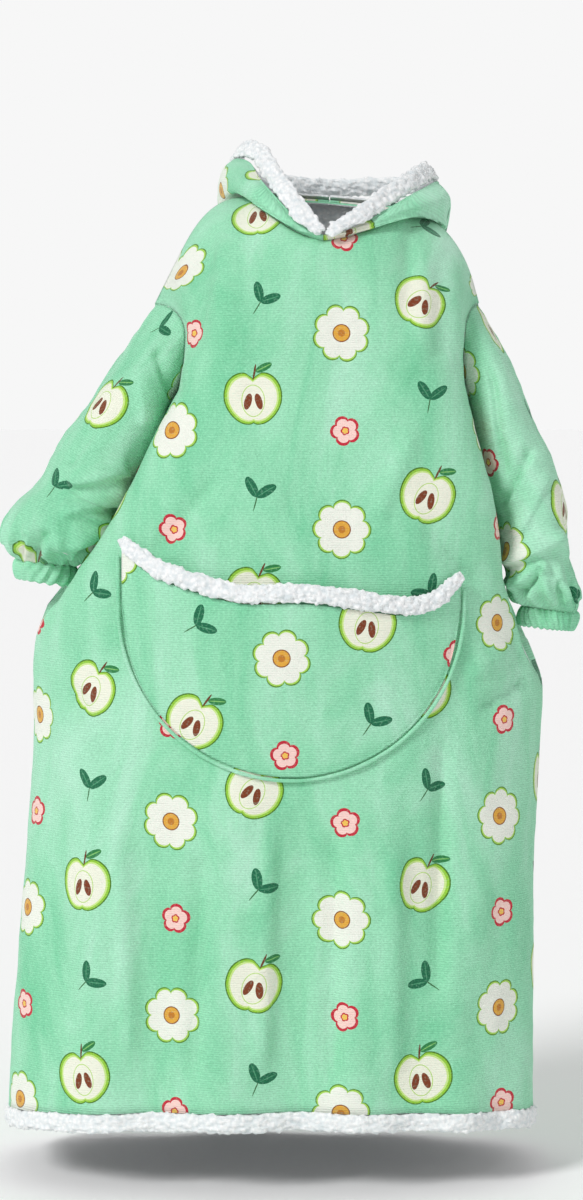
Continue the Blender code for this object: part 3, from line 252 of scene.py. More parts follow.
@dataclass(frozen=True)
class PrintedFlannel:
    """Microfibre flannel, brushed on its face and printed.

    The short nap gives a matt face with a pale sheen at grazing angles. Its strokes are
    painted in as lighter and deeper patches, partly the nap's own tone and partly painted
    light and painted shade. The pile's ribs are about 3 mm apart.
    """

    name: str = "printed microfibre flannel"
    printed: bool = True
    rib: float = 0.0032
    shift: tuple[float, float] = (0.0, 0.0)
    ground: str = MINT
    # light and deep are the painted light and the painted shade of the strokes
    light: str = MINT_PAINTED_LIGHT
    deep: str = MINT_PAINTED_SHADE

    def nap(self, tree: bpy.types.NodeTree, uv: Any) -> Any:
        """The ground colour with the nap's strokes, painted in as lit and shaded mint: painted light
        and painted shade.
        """
        strokes = add_node(tree, "ShaderNodeMapping", {0: uv, 3: (9.0, 3.2, 1.0)})
        wide = add_node(tree, "ShaderNodeTexNoise", {0: strokes.outputs[0], "Scale": 1.0,
                        "Detail": 5.0, "Roughness": 0.62, "Distortion": 0.7})
        # Painted light and shade: the noise lays the lit mint and the shaded mint in strokes over the
        # ground
        painted_light_shade_ramp = add_node(tree, "ShaderNodeValToRGB", {0: wide.outputs[0]})
        stops = painted_light_shade_ramp.color_ramp.elements
        stops[0].position, stops[0].color = 0.30, linear(self.deep)
        stops[1].position, stops[1].color = 0.72, linear(self.light)
        middle = stops.new(0.50)
        middle.color = linear(self.ground)
        fibre = add_node(tree, "ShaderNodeTexNoise", {0: uv, "Scale": 300.0, "Detail": 3.0,
                         "Roughness": 0.7})
        rows = add_node(tree, "ShaderNodeTexWave", {0: uv, "Scale": math.pi / 10 / self.rib,
                        "Distortion": 3.0, "Detail": 3.0, "Detail Scale": 2.0,
                        "Detail Roughness": 0.8}, bands_direction="Y")
        both = work_out(tree, {"fibre": fibre.outputs[0], "rows": rows.outputs[1]}, [
            ("some", "MULTIPLY", "rows", 0.22),
            ("both", "ADD", "fibre", "some"),
        ])["both"]
        speck = add_node(tree, "ShaderNodeMapRange", {0: both, 1: 0.34, 2: 0.88,
                         3: 0.80, 4: 1.10})
        tinted = add_node(tree, "ShaderNodeVectorMath", {0: painted_light_shade_ramp.outputs[0], 1: speck.outputs[0]},
                          operation="MULTIPLY")
        return tinted.outputs[0]

    def lattice(self, tree: bpy.types.NodeTree, uv: Any, motif: Motif) -> dict:
        """The place within a motif's cell, turned: x, y, mirrored x and radius."""
        split = add_node(tree, "ShaderNodeSeparateXYZ", {0: uv})
        known = {"u": split.outputs[0], "v": split.outputs[1]}
        work_out(tree, known, [
            ("u_in", "ADD", "u", self.shift[0] - motif.place[0] * REPEAT_WIDE),
            ("v_in", "ADD", "v", self.shift[1] - motif.place[1] * REPEAT_TALL),
            ("across", "DIVIDE", "u_in", REPEAT_WIDE),
            ("column", "FLOOR", "across"),
            ("odd", "FLOORED_MODULO", "column", 2.0),
            ("drop", "MULTIPLY", "odd", 0.5),
            ("up", "DIVIDE", "v_in", REPEAT_TALL),
            ("up_in", "SUBTRACT", "up", "drop"),
            ("row", "FLOOR", "up_in"),
            ("cell_x", "SUBTRACT", "across", "column"),
            ("cell_y", "SUBTRACT", "up_in", "row"),
            ("mid_x", "SUBTRACT", "cell_x", 0.5),
            ("mid_y", "SUBTRACT", "cell_y", 0.5),
            ("px", "MULTIPLY", "mid_x", REPEAT_WIDE),
            ("py", "MULTIPLY", "mid_y", REPEAT_TALL),
        ])
        cell = add_node(tree, "ShaderNodeCombineXYZ", {0: known["column"], 1: known["row"],
                        2: motif.radius * 100})
        chance = add_node(tree, "ShaderNodeTexWhiteNoise", {0: cell.outputs[0]},
                          noise_dimensions="3D")
        known["chance"] = chance.outputs["Value"]
        return work_out(tree, known, [
            ("even", "SUBTRACT", "chance", 0.5),
            ("spread", "MULTIPLY", "even", motif.turn),
            ("angle", "ADD", "spread", motif.lean),
            ("cos", "COSINE", "angle"),
            ("sin", "SINE", "angle"),
            ("x1", "MULTIPLY", "px", "cos"),
            ("x2", "MULTIPLY", "py", "sin"),
            ("y1", "MULTIPLY", "px", "sin"),
            ("y2", "MULTIPLY", "py", "cos"),
            ("x", "SUBTRACT", "x1", "x2"),
            ("y", "ADD", "y1", "y2"),
            ("side", "ABSOLUTE", "x"),
            ("xx", "MULTIPLY", "x", "x"),
            ("yy", "MULTIPLY", "y", "y"),
            ("rr", "ADD", "xx", "yy"),
            ("r", "SQRT", "rr"),
            ("from_top", "ARCTAN2", "side", "y"),
            ("turns", "DIVIDE", "from_top", math.pi),
        ])

    def ellipse(self, tree: bpy.types.NodeTree, known: dict, across: str, centre: tuple,
                half: tuple, tilt: float = 0.0) -> Any:
        """A mask that is 1 within an ellipse of the motif's plane.

        Args:
            tree: the node tree.
            known: the motif's sockets.
            across: x, or side for an ellipse on both sides.
            centre: its middle in metres.
            half: its half-axes in metres.
            tilt: its turn in radians.
        """
        cos, sin = math.cos(tilt), math.sin(tilt)
        return work_out(tree, dict(known), [
            ("ex", "SUBTRACT", across, centre[0]),
            ("ey", "SUBTRACT", "y", centre[1]),
            ("a1", "MULTIPLY", "ex", cos / half[0]),
            ("a2", "MULTIPLY", "ey", sin / half[0]),
            ("b1", "MULTIPLY", "ex", -sin / half[1]),
            ("b2", "MULTIPLY", "ey", cos / half[1]),
            ("a", "ADD", "a1", "a2"),
            ("b", "ADD", "b1", "b2"),
            ("aa", "MULTIPLY", "a", "a"),
            ("bb", "MULTIPLY", "b", "b"),
            ("sum", "ADD", "aa", "bb"),
            ("mask", "LESS_THAN", "sum", 1.0),
        ])["mask"]

    def body(self, tree: bpy.types.NodeTree, known: dict, motif: Motif, colour: Any) -> Any:
        """A motif's layers, from its outline inward."""
        curve = add_node(tree, "ShaderNodeFloatCurve", {1: known["turns"]})
        line = curve.mapping.curves[0]
        curve.mapping.extend = "HORIZONTAL"
        curve.mapping.use_clip = False
        points = motif.outline
        line.points[0].location = points[0]
        line.points[1].location = points[-1]
        for point in points[1:-1]:
            line.points.new(*point)
        curve.mapping.update()
        known["share"] = curve.outputs[0]
        steps = [("reach", "MULTIPLY", "share", motif.radius)]
        if motif.petals:
            steps = [
                ("lobes", "MULTIPLY", "from_top", motif.petals / 2),
                ("wave", "COSINE", "lobes"),
                ("lobe", "ABSOLUTE", "wave"),
                ("soft", "POWER", "lobe", 0.55),
                ("deep", "MULTIPLY", "soft", motif.petal_depth * motif.radius),
                ("reach", "ADD", "deep", (1 - motif.petal_depth) * motif.radius),
            ]
        work_out(tree, known, steps + [("rho", "DIVIDE", "r", "reach")])
        for share, paint in motif.layers:
            mask = work_out(tree, known, [("in", "LESS_THAN", "rho", share)])["in"]
            colour = lay_over(tree, colour, mask, paint)
        return colour

    def apples(self, tree: bpy.types.NodeTree, uv: Any, colour: Any) -> Any:
        """Apple halves with a stalk, a leaf, a core line and two large pips."""
        known = self.lattice(tree, uv, APPLE)
        stalk = self.ellipse(tree, known, "x", (0.002, 0.038), (0.0015, 0.011), -0.15)
        leaf = self.ellipse(tree, known, "x", (0.015, 0.044), (0.0125, 0.0052), 0.45)
        colour = lay_over(tree, colour, leaf, "#2f7d46")
        vein = self.ellipse(tree, known, "x", (0.015, 0.044), (0.0115, 0.0008), 0.45)
        colour = lay_over(tree, colour, vein, "#7fc06a")
        colour = self.body(tree, known, APPLE, colour)
        colour = lay_over(tree, colour, stalk, "#6b3a1f")
        lens = self.ellipse(tree, known, "x", (0.0, -0.002), (0.0165, 0.0225))
        colour = lay_over(tree, colour, lens, "#b9d97a")
        inside = self.ellipse(tree, known, "x", (0.0, -0.002), (0.0152, 0.0212))
        colour = lay_over(tree, colour, inside, "#eceddc")
        pips = self.ellipse(tree, known, "side", (0.0075, -0.003), (0.0050, 0.0115), 0.28)
        return lay_over(tree, colour, pips, "#7d3c22")

    def daisies(self, tree: bpy.types.NodeTree, uv: Any, colour: Any) -> Any:
        """Round-petalled daisies with a golden middle."""
        known = self.lattice(tree, uv, DAISY)
        colour = self.body(tree, known, DAISY, colour)
        for radius, paint in ((0.0125, "#8a4a24"), (0.0110, "#e0a63f"), (0.0050, "#c07a2c")):
            disc = self.ellipse(tree, known, "x", (0.0, 0.0), (radius, radius))
            colour = lay_over(tree, colour, disc, paint)
        return colour

    def blossoms(self, tree: bpy.types.NodeTree, uv: Any, colour: Any) -> Any:
        """Small red and pink blossoms."""
        known = self.lattice(tree, uv, BLOSSOM)
        return self.body(tree, known, BLOSSOM, colour)

    def sprigs(self, tree: bpy.types.NodeTree, uv: Any, colour: Any) -> Any:
        """Pairs of dark leaves on a short stalk."""
        known = self.lattice(tree, uv, SPRIG)
        stalk = self.ellipse(tree, known, "x", (0.0, -0.010), (0.0009, 0.013))
        leaves = self.ellipse(tree, known, "side", (0.0105, 0.008), (0.0150, 0.0068), 0.78)
        veins = self.ellipse(tree, known, "side", (0.0105, 0.008), (0.0130, 0.0007), 0.78)
        colour = lay_over(tree, colour, stalk, "#3c6b3f")
        colour = lay_over(tree, colour, leaves, "#1f6b4a")
        return lay_over(tree, colour, veins, "#4f9a72")

    def relief(self, tree: bpy.types.NodeTree, uv: Any) -> Any:
        """The bump of the pile: ribs, brushed strokes and fibres."""
        ribs = add_node(tree, "ShaderNodeTexWave", {0: uv, "Scale": math.pi / 10 / self.rib,
                        "Distortion": 2.2, "Detail": 3.0, "Detail Scale": 1.6,
                        "Detail Roughness": 0.7}, bands_direction="Y")
        fibre = add_node(tree, "ShaderNodeTexNoise", {0: uv, "Scale": 330.0, "Detail": 4.0,
                         "Roughness": 0.75})
        broad = add_node(tree, "ShaderNodeTexNoise", {0: uv, "Scale": 26.0, "Detail": 4.0,
                         "Roughness": 0.6, "Distortion": 0.5})
        known = {"ribs": ribs.outputs[1], "fibre": fibre.outputs[0], "broad": broad.outputs[0]}
        height = work_out(tree, known, [
            ("r", "MULTIPLY", "ribs", 0.20),
            ("f", "MULTIPLY", "fibre", 0.55),
            ("b", "MULTIPLY", "broad", 2.2),
            ("rf", "ADD", "r", "f"),
            ("height", "ADD", "rf", "b"),
        ])["height"]
        return add_node(tree, "ShaderNodeBump", {"Height": height, "Strength": 0.75,
                        "Distance": 0.0026}).outputs[0]

    def make(self) -> bpy.types.Material:
        """The material."""
        made, tree, shader = new_material(self.name)
        uv = add_node(tree, "ShaderNodeUVMap", uv_map="cloth").outputs[0]
        colour = self.nap(tree, uv)
        if self.printed:
            for draw in (self.sprigs, self.blossoms, self.daisies, self.apples):
                colour = draw(tree, uv, colour)
            # Painted sheen: fine specks of the lit mint laid over the print and the ground, for fuzz
            # catching the light
            sheen_speck_noise = add_node(tree, "ShaderNodeTexNoise", {0: uv, "Scale": 300.0, "Detail": 3.0})
            painted_sheen_specks = add_node(tree, "ShaderNodeMapRange", {0: sheen_speck_noise.outputs[0], 1: 0.52, 2: 0.80,
                            3: 0.0, 4: 0.28})
            colour = lay_over(tree, colour, painted_sheen_specks.outputs[0], self.light)
        tree.links.new(colour, shader.inputs["Base Color"])
        tree.links.new(self.relief(tree, uv), shader.inputs["Normal"])
        shader.inputs["Roughness"].default_value = 0.88
        shader.inputs["Specular IOR Level"].default_value = 0.22
        shader.inputs["Sheen Weight"].default_value = 0.42
        shader.inputs["Sheen Roughness"].default_value = 0.42
        shader.inputs["Sheen Tint"].default_value = linear("#d9f7e6")
        return made


@dataclass(frozen=True)
class Sherpa:
    """Polyester sherpa: curly white pile in clumps of 4 to 7 mm.

    The clumps are white, and the hollows between them are painted a bluish grey shade, with no gloss.
    """

    name: str = "white sherpa fleece"
    clump: float = 0.0055
    bright: str = "#ffffff"
    painted_hollow_shade: str = "#dde5e8"

    def make(self) -> bpy.types.Material:
        """The material, in the piece's own metres."""
        made, tree, shader = new_material(self.name)
        place = add_node(tree, "ShaderNodeTexCoord").outputs["Object"]
        curls = add_node(tree, "ShaderNodeTexVoronoi", {"Vector": place,
                         "Scale": 1 / self.clump, "Randomness": 1.0}, feature="SMOOTH_F1")
        fine = add_node(tree, "ShaderNodeTexNoise", {0: place, "Scale": 420.0, "Detail": 4.0,
                        "Roughness": 0.7, "Distortion": 1.2})
        known = {"curl": curls.outputs[0], "fine": fine.outputs[0]}
        work_out(tree, known, [
            ("hollow", "MULTIPLY", "curl", 0.9),
            ("rough", "MULTIPLY", "fine", 0.55),
            ("depth", "ADD", "hollow", "rough"),
            ("height", "SUBTRACT", 1.0, "depth"),
        ])
        # Painted shade: the deeper the pile lies between the clumps, the nearer its colour comes to the
        # bluish grey shade
        painted_light_shade_ramp = add_node(tree, "ShaderNodeValToRGB", {0: known["depth"]})
        stops = painted_light_shade_ramp.color_ramp.elements
        stops[0].position, stops[0].color = 0.42, linear(self.bright)
        stops[1].position, stops[1].color = 1.0, linear(self.painted_hollow_shade)
        bump = add_node(tree, "ShaderNodeBump", {"Height": known["height"], "Strength": 0.8,
                        "Distance": 0.0030})
        tree.links.new(painted_light_shade_ramp.outputs[0], shader.inputs["Base Color"])
        tree.links.new(bump.outputs[0], shader.inputs["Normal"])
        shader.inputs["Roughness"].default_value = 0.95
        shader.inputs["Specular IOR Level"].default_value = 0.15
        shader.inputs["Sheen Weight"].default_value = 0.35
        shader.inputs["Sheen Roughness"].default_value = 0.5
        shader.inputs["Sheen Tint"].default_value = linear("#ffffff")
        return made


@dataclass(frozen=True)
class Studio:
    """Matt white paint of the studio's floor and wall."""

    name: str = "matt white studio paint"
    colour: str = "#fdfdfd"

    def make(self) -> bpy.types.Material:
        """The material."""
        made, _, shader = new_material(self.name)
        shader.inputs["Base Color"].default_value = linear(self.colour)
        shader.inputs["Roughness"].default_value = 0.9
        shader.inputs["Specular IOR Level"].default_value = 0.1
        return made


# Meshes

def coordinates(mesh: bpy.types.Mesh) -> np.ndarray:
    """A mesh's points."""
    points = np.zeros(len(mesh.vertices) * 3)
    mesh.vertices.foreach_get("co", points)
    return points.reshape(-1, 3)


def normals(mesh: bpy.types.Mesh) -> np.ndarray:
    """A mesh's point normals."""
    found = np.zeros(len(mesh.vertices) * 3)
    mesh.vertices.foreach_get("normal", found)
    return found.reshape(-1, 3)


def is_narrow(face: bmesh.types.BMFace, thin: float) -> bool:
    """Whether a face is as narrow as the cloth is thick."""
    return min(edge.calc_length() for edge in face.edges) < thin


def mark_border(body: bmesh.types.BMesh, thin: float) -> tuple[set, set]:
    """Crease the edges between a cloth's walls and its cut edge.

    Args:
        body: the mesh, whose points get the layer border.
        thin: faces with an edge shorter than this are the cut edge.

    Returns:
        The creased edges and the faces of the cut edge.
    """
    layers = body.edges.layers.float
    crease = layers.get("crease_edge") or layers.new("crease_edge")
    border = body.verts.layers.float.new("border")
    creased, rim = set(), set()
    for edge in body.edges:
        if len(edge.link_faces) != 2 or edge.calc_face_angle() < BORDER_ANGLE:
            continue
        narrow = {face for face in edge.link_faces if is_narrow(face, thin)}
        if narrow:
            rim |= narrow
            creased.add(edge)
            edge[crease] = 1.0
            for vert in edge.verts:
                vert[border] = 1.0
    return creased, rim


def cloth_sides(body: bmesh.types.BMesh, rim: set, away: Callable) -> None:
    """Give each wall of a cloth piece its material slot, by its faces' vote.

    Args:
        body: the mesh.
        rim: the faces of its cut edge, which part the walls.
        away: gives unit vectors outward at an array of points.
    """
    body.faces.index_update()
    middles = np.array([face.calc_center_median() for face in body.faces])
    facing = np.array([face.normal for face in body.faces])
    areas = np.array([face.calc_area() for face in body.faces])
    votes = (facing * away(middles)).sum(axis=1) * areas
    seen = set(rim)
    for first in body.faces:
        if first in seen:
            continue
        wall, queue = [], [first]
        seen.add(first)
        while queue:
            face = queue.pop()
            wall.append(face)
            for edge in face.edges:
                for other in edge.link_faces:
                    if other not in seen:
                        seen.add(other)
                        queue.append(other)
        looks_in = votes[[face.index for face in wall]].sum() < 0
        for face in wall:
            face.material_index = (Face.INSIDE if looks_in else Face.OUTSIDE).value


def smoothed_copy(node: str, name: str, levels: int, thin: float, finishes: list,
                  away: Callable | None = None) -> bpy.types.Object:
    """A smooth, finer copy of a node's solid, with its borders kept where they are.

    Args:
        node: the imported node.
        name: the new piece's name.
        levels: levels of subdivision.
        thin: faces with an edge shorter than this are the cloth's cut edge.
        finishes: the materials of its outside and inside, or the only one.
        away: gives unit vectors outward, for a cloth with an outside and an inside.

    Returns:
        The new object, whose mesh has the float attribute border: 1 at its borders.
    """
    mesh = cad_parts[node].data.copy()
    mesh.materials.clear()
    for finish in finishes:
        mesh.materials.append(finish)
    body = bmesh.new()
    body.from_mesh(mesh)
    bmesh.ops.remove_doubles(body, verts=body.verts, dist=MERGE_REACH)
    bmesh.ops.join_triangles(body, faces=body.faces, angle_face_threshold=BORDER_ANGLE - 0.1,
                             angle_shape_threshold=math.pi)
    bmesh.ops.recalc_face_normals(body, faces=body.faces)
    _, rim = mark_border(body, thin)
    if away:
        cloth_sides(body, rim, away)
    body.to_mesh(mesh)
    body.free()
    rough = bpy.data.objects.new(name + "_rough", mesh)
    bpy.context.scene.collection.objects.link(rough)
    step = rough.modifiers.new("smooth", "SUBSURF")
    step.levels = step.render_levels = levels
    step.boundary_smooth = "PRESERVE_CORNERS"
    graph = bpy.context.evaluated_depsgraph_get()
    fine = bpy.data.meshes.new_from_object(rough.evaluated_get(graph))
    bpy.data.objects.remove(rough, do_unlink=True)
    fine.name = name
    piece = bpy.data.objects.new(name, fine)
    bpy.context.scene.collection.objects.link(piece)
    for polygon in fine.polygons:
        polygon.use_smooth = True
    return piece


def border_distance(mesh: bpy.types.Mesh) -> np.ndarray:
    """How far each point lies from the cloth's border, up to a few centimetres."""
    marks = np.zeros(len(mesh.vertices))
    mesh.attributes["border"].data.foreach_get("value", marks)
    points = coordinates(mesh)
    edge = np.flatnonzero(marks > 0.98)
    if not len(edge):
        return np.full(len(points), 1.0)
    tree = kdtree.KDTree(len(edge))
    for n, index in enumerate(edge):
        tree.insert(points[index], n)
    tree.balance()
    return np.array([tree.find(point)[2] for point in points])


def write_uv(mesh: bpy.types.Mesh, places: np.ndarray) -> None:
    """Write the cloth's own coordinates in metres as the UV map cloth."""
    layer = mesh.uv_layers.get("cloth") or mesh.uv_layers.new(name="cloth")
    corners = np.zeros(len(mesh.loops), dtype=np.int64)
    mesh.loops.foreach_get("vertex_index", corners)
    layer.data.foreach_set("uv", places[corners].ravel())


def inside_points(mesh: bpy.types.Mesh) -> np.ndarray:
    """Which points are on the cloth's inside."""
    slots = np.zeros(len(mesh.polygons), np.int32)
    mesh.polygons.foreach_get("material_index", slots)
    corners = np.zeros(len(mesh.loops), np.int64)
    mesh.loops.foreach_get("vertex_index", corners)
    sizes = np.zeros(len(mesh.polygons), np.int64)
    mesh.polygons.foreach_get("loop_total", sizes)
    found = np.zeros(len(mesh.vertices), bool)
    found[corners[np.repeat(slots == Face.INSIDE.value, sizes)]] = True
    return found


def set_points(mesh: bpy.types.Mesh, points: np.ndarray) -> None:
    """Move a mesh's points."""
    mesh.vertices.foreach_set("co", points.ravel())
    mesh.update()


@dataclass
class ClothPiece:
    """A cloth piece made from a packed wall: its finish outside and inside, and its cut."""

    node: str
    flat: tuple[float, float]
    area: float
    held: str = "gathered"
    rests_on: tuple[str, ...] = ("wearer_neck",)
    levels: int = 2
    thin: float = 0.0040
    seam_depth: float = 0.0015
    seam_reach: float = 0.007
    folds: np.ndarray | None = None
    flat_reach: float = 0.030
    steep: float = 0.6
    wrinkle: float = 0.0022
    wrinkle_size: float = 0.085
    seed: float = 0.0
    slot: str = "flannel"
    print_shift: tuple[float, float] = (0.0, 0.0)

    def away(self, points: np.ndarray) -> np.ndarray:
        """Unit vectors from the hollow's middle outward, at each point."""
        raise NotImplementedError

    def plane(self, points: np.ndarray) -> np.ndarray:
        """The cloth's own coordinates of each point, in metres."""
        raise NotImplementedError

    def fold_place(self, points: np.ndarray) -> np.ndarray:
        """The two coordinates that the folds are given in: as seen from the front."""
        return points[:, [0, 2]]

    def extra_lift(self, points: np.ndarray) -> np.ndarray:
        """Forms of the piece's own, such as gathers, as a lift in metres."""
        return np.zeros(len(points))

    def build(self, outside: bpy.types.Material, inside: bpy.types.Material) -> bpy.types.Object:
        """Build and dress the piece.

        Args:
            outside: the finish of its face.
            inside: the finish of its back.

        Returns:
            The finished object.
        """
        piece = smoothed_copy(self.node, "cloth_" + self.node, self.levels, self.thin,
                              [outside, inside], self.away)
        mesh = piece.data
        points, facing = coordinates(mesh), normals(mesh)
        sign = np.where(inside_points(mesh), -1.0, 1.0)[:, None]
        from_border = border_distance(mesh)
        inland = smooth_step(from_border / self.flat_reach)
        lift = self.extra_lift(points)
        if self.folds is not None:
            creases = fold_height(self.folds, self.fold_place(points), self.steep)
            creases = FOLD_LIMIT * np.tanh(creases / FOLD_LIMIT)
            lift = lift + creases * smooth_step(np.abs(facing[:, 1]) / SIDE_FADE)
        lift += self.wrinkle * soft_noise(points * [1, 1, 0.6], self.wrinkle_size, self.seed)
        lift += self.wrinkle * 0.35 * soft_noise(points, self.wrinkle_size * 0.3, self.seed + 7)
        lift *= inland
        lift = np.where(inside_points(mesh), np.where(lift > 0, 0.6, 1.2) * lift, lift)
        dent = -self.seam_depth * np.exp(-(from_border / self.seam_reach) ** 2)
        dent *= smooth_step(from_border / 0.0015)
        write_uv(mesh, self.plane(points) + np.array(self.print_shift))
        set_points(mesh, points + facing * sign * (lift + dent)[:, None])
        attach(piece, "root")
        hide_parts(self.node)
        LOG.info("%s: %d faces, folds from %.1f to %.1f mm", piece.name, len(mesh.polygons),
                 lift.min() * 1000, lift.max() * 1000)
        return piece


# Middle line of the body: height, and the X of its middle there
BODY_MIDDLE = table("z x", [
    (-1.268, -0.0845), (-0.960, -0.0745), (-0.700, -0.0605), (-0.589, -0.0680),
    (-0.468, -0.0475), (-0.343, -0.0250), (-0.245, -0.0115), (-0.165, -0.0075), (0.10, 0.0),
])
CHEST_Z = -0.165


def body_middle(points: np.ndarray) -> np.ndarray:
    """The place on the body's middle line beside each point, no higher than the chest."""
    rows = BODY_MIDDLE
    x = np.interp(points[:, 2], rows["z"], rows["x"])
    return np.stack([x, np.zeros(len(points)), np.minimum(points[:, 2], CHEST_Z)], axis=1)


@dataclass
class Panel(ClothPiece):
    """The front or back panel. facing is -1 in front and 1 behind."""

    facing: int = -1
    bands: int = 26

    def away(self, points: np.ndarray) -> np.ndarray:
        """Away from the body's middle line."""
        apart = points - body_middle(points)
        return apart / np.linalg.norm(apart, axis=1, keepdims=True)

    def plane(self, points: np.ndarray) -> np.ndarray:
        """Arc length round the body from the panel's middle, and height along the cloth."""
        apart = points - body_middle(points)
        turn = np.arctan2(apart[:, 0], apart[:, 1] * self.facing)
        radius = np.hypot(apart[:, 0], apart[:, 1])
        edges = np.linspace(points[:, 2].min(), CHEST_Z, self.bands)
        grid = np.linspace(-math.pi / 2, math.pi / 2, 61)
        arcs = []
        for low, high in zip(edges[:-1], edges[1:]):
            inside = (points[:, 2] >= low) & (points[:, 2] <= high)
            order = np.argsort(turn[inside])
            reach = np.interp(grid, turn[inside][order], radius[inside][order])
            reach = np.convolve(np.pad(reach, 2, mode="edge"), np.ones(5) / 5, mode="valid")
            x, y = reach * np.sin(grid), reach * np.cos(grid)
            arc = np.concatenate([[0], np.cumsum(np.hypot(np.diff(x), np.diff(y)))])
            arcs.append(arc - np.interp(0, grid, arc))
        arcs = np.array(arcs)
        middles = (edges[:-1] + edges[1:]) / 2
        at = np.interp(points[:, 2], middles, np.arange(len(middles)))
        low = np.clip(at.astype(int), 0, len(middles) - 2)
        share = at - low
        column = (np.clip(turn, grid[0], grid[-1]) - grid[0]) / (grid[1] - grid[0])
        left = np.clip(column.astype(int), 0, len(grid) - 2)
        part = column - left
        near = arcs[low, left] * (1 - part) + arcs[low, left + 1] * part
        far = arcs[low + 1, left] * (1 - part) + arcs[low + 1, left + 1] * part
        u = near * (1 - share) + far * share
        above = np.clip(points[:, 2] - CHEST_Z, 0, 1)
        depth = np.clip(0.14 - np.abs(points[:, 1]), 0, 1) * smooth_step(above / 0.03)
        yoke = smooth_step(above / 0.10)
        u = u * (1 - yoke) + (points[:, 0] - body_middle(points)[:, 0]) * 1.06 * yoke
        v = np.minimum(points[:, 2], CHEST_Z) + np.hypot(above, depth * yoke)
        lean = body_middle(points)[:, 0]
        return np.stack([(u + lean) * -self.facing, v], axis=1)


@dataclass
class Sleeve(ClothPiece):
    """A sleeve, with its axis from the shoulder to the cuff."""

    side: Side = Side.RIGHT
    top: tuple[float, float, float] = (-0.235, 0.015, -0.18)
    elbow: tuple[float, float, float] = (-0.365, 0.0, -0.395)
    end: tuple[float, float, float] = (-0.405, -0.015, -0.49)
    radius: float = 0.078
    steep: float = 0.35
    flat_reach: float = 0.015
    gathers: int = 16
    gather_height: float = 0.0048
    gather_reach: float = 0.075

    def axis(self, points: np.ndarray) -> tuple[np.ndarray, np.ndarray, np.ndarray]:
        """The nearest place on the axis, the way along it and the length to it."""
        knots = np.array([self.top, self.elbow, self.end])
        best = np.full(len(points), 1e9)
        place, way, length = np.zeros_like(points), np.zeros_like(points), np.zeros(len(points))
        done = 0.0
        for a, b in zip(knots[:-1], knots[1:]):
            leg = b - a
            size = np.linalg.norm(leg)
            share = (points - a) @ leg / size ** 2
            inside = np.clip(share, 0, 1)
            near = a + inside[:, None] * leg
            off = np.linalg.norm(points - near, axis=1)
            take = off < best
            best = np.where(take, off, best)
            place = np.where(take[:, None], near, place)
            way = np.where(take[:, None], leg / size, way)
            beyond = share if done == 0 else np.maximum(share, 0)
            length = np.where(take, done + beyond * size, length)
            done += size
        return place, way, length

    def away(self, points: np.ndarray) -> np.ndarray:
        """Away from the sleeve's axis."""
        place, _, _ = self.axis(points)
        apart = points - place
        return apart / np.linalg.norm(apart, axis=1, keepdims=True)

    def turn(self, points: np.ndarray) -> np.ndarray:
        """The turn round the axis, 0 in front and growing toward the outside."""
        place, way, _ = self.axis(points)
        apart = points - place
        outward = np.cross(way, [0.0, 1.0, 0.0]) * self.side.value
        outward /= np.linalg.norm(outward, axis=1, keepdims=True)
        outward *= np.sign(outward[:, :1] * self.side.value)
        return np.arctan2((apart * outward).sum(axis=1), -apart[:, 1])

    def plane(self, points: np.ndarray) -> np.ndarray:
        """Arc length round the axis and length along it."""
        _, _, length = self.axis(points)
        turn = self.turn(points) * self.side.value
        return np.stack([turn * self.radius + 0.31 * self.side.value, -length], axis=1)

    def extra_lift(self, points: np.ndarray) -> np.ndarray:
        """Gathers that run up from the cuff and die away."""
        knots = np.array([self.elbow, self.end])
        way = (knots[1] - knots[0]) / np.linalg.norm(knots[1] - knots[0])
        up_from_cuff = -(points - knots[1]) @ way
        turn = self.turn(points)
        wobble = 0.6 * soft_noise(points, 0.05, self.seed)
        fade = smooth_step(1 - up_from_cuff / self.gather_reach) * smooth_step(up_from_cuff / 0.006)
        return self.gather_height * fade * np.cos(self.gathers * turn + 5 * wobble)


@dataclass
class HoodHalf(ClothPiece):
    """Half the hood's outer cloth, or half its lining, which lies in a roll round the neck."""

    middle_z: float = 0.055
    middle_y: float = 0.02
    ring: float = 0.105
    ring_behind: float = 0.150
    roll: float = 0.055

    def around(self, points: np.ndarray) -> tuple[np.ndarray, np.ndarray, np.ndarray]:
        """The turn round the neck, the way outward and the roll's middle at each point."""
        flat = points - [0.0, self.middle_y, 0.0]
        flat[:, 2] = 0
        outward = flat / np.linalg.norm(flat, axis=1, keepdims=True)
        behind = smooth_step((points[:, 1] - 0.05) / 0.08)
        middle = outward * (self.ring + (self.ring_behind - self.ring) * behind)[:, None]
        middle[:, 1] += self.middle_y
        middle[:, 2] = self.middle_z - 0.02 * behind
        return np.arctan2(flat[:, 0], -flat[:, 1]), outward, middle

    def away(self, points: np.ndarray) -> np.ndarray:
        """Away from the middle of the hood's roll."""
        _, _, middle = self.around(points)
        apart = points - middle
        return apart / np.linalg.norm(apart, axis=1, keepdims=True)

    def plane(self, points: np.ndarray) -> np.ndarray:
        """Arc length round the neck, and arc length over the roll."""
        turn, outward, middle = self.around(points)
        apart = points - middle
        tilt = np.arctan2((apart * outward).sum(axis=1), apart[:, 2])
        return np.stack([turn * self.ring * 1.35, -tilt * self.roll], axis=1)


@dataclass
class PocketPanel(Panel):
    """The half-round pocket, cut on its own so that its print doesn't meet the panel's."""

    def plane(self, points: np.ndarray) -> np.ndarray:
        """As seen from the front, moved on by the print's shift."""
        return points[:, [0, 2]]


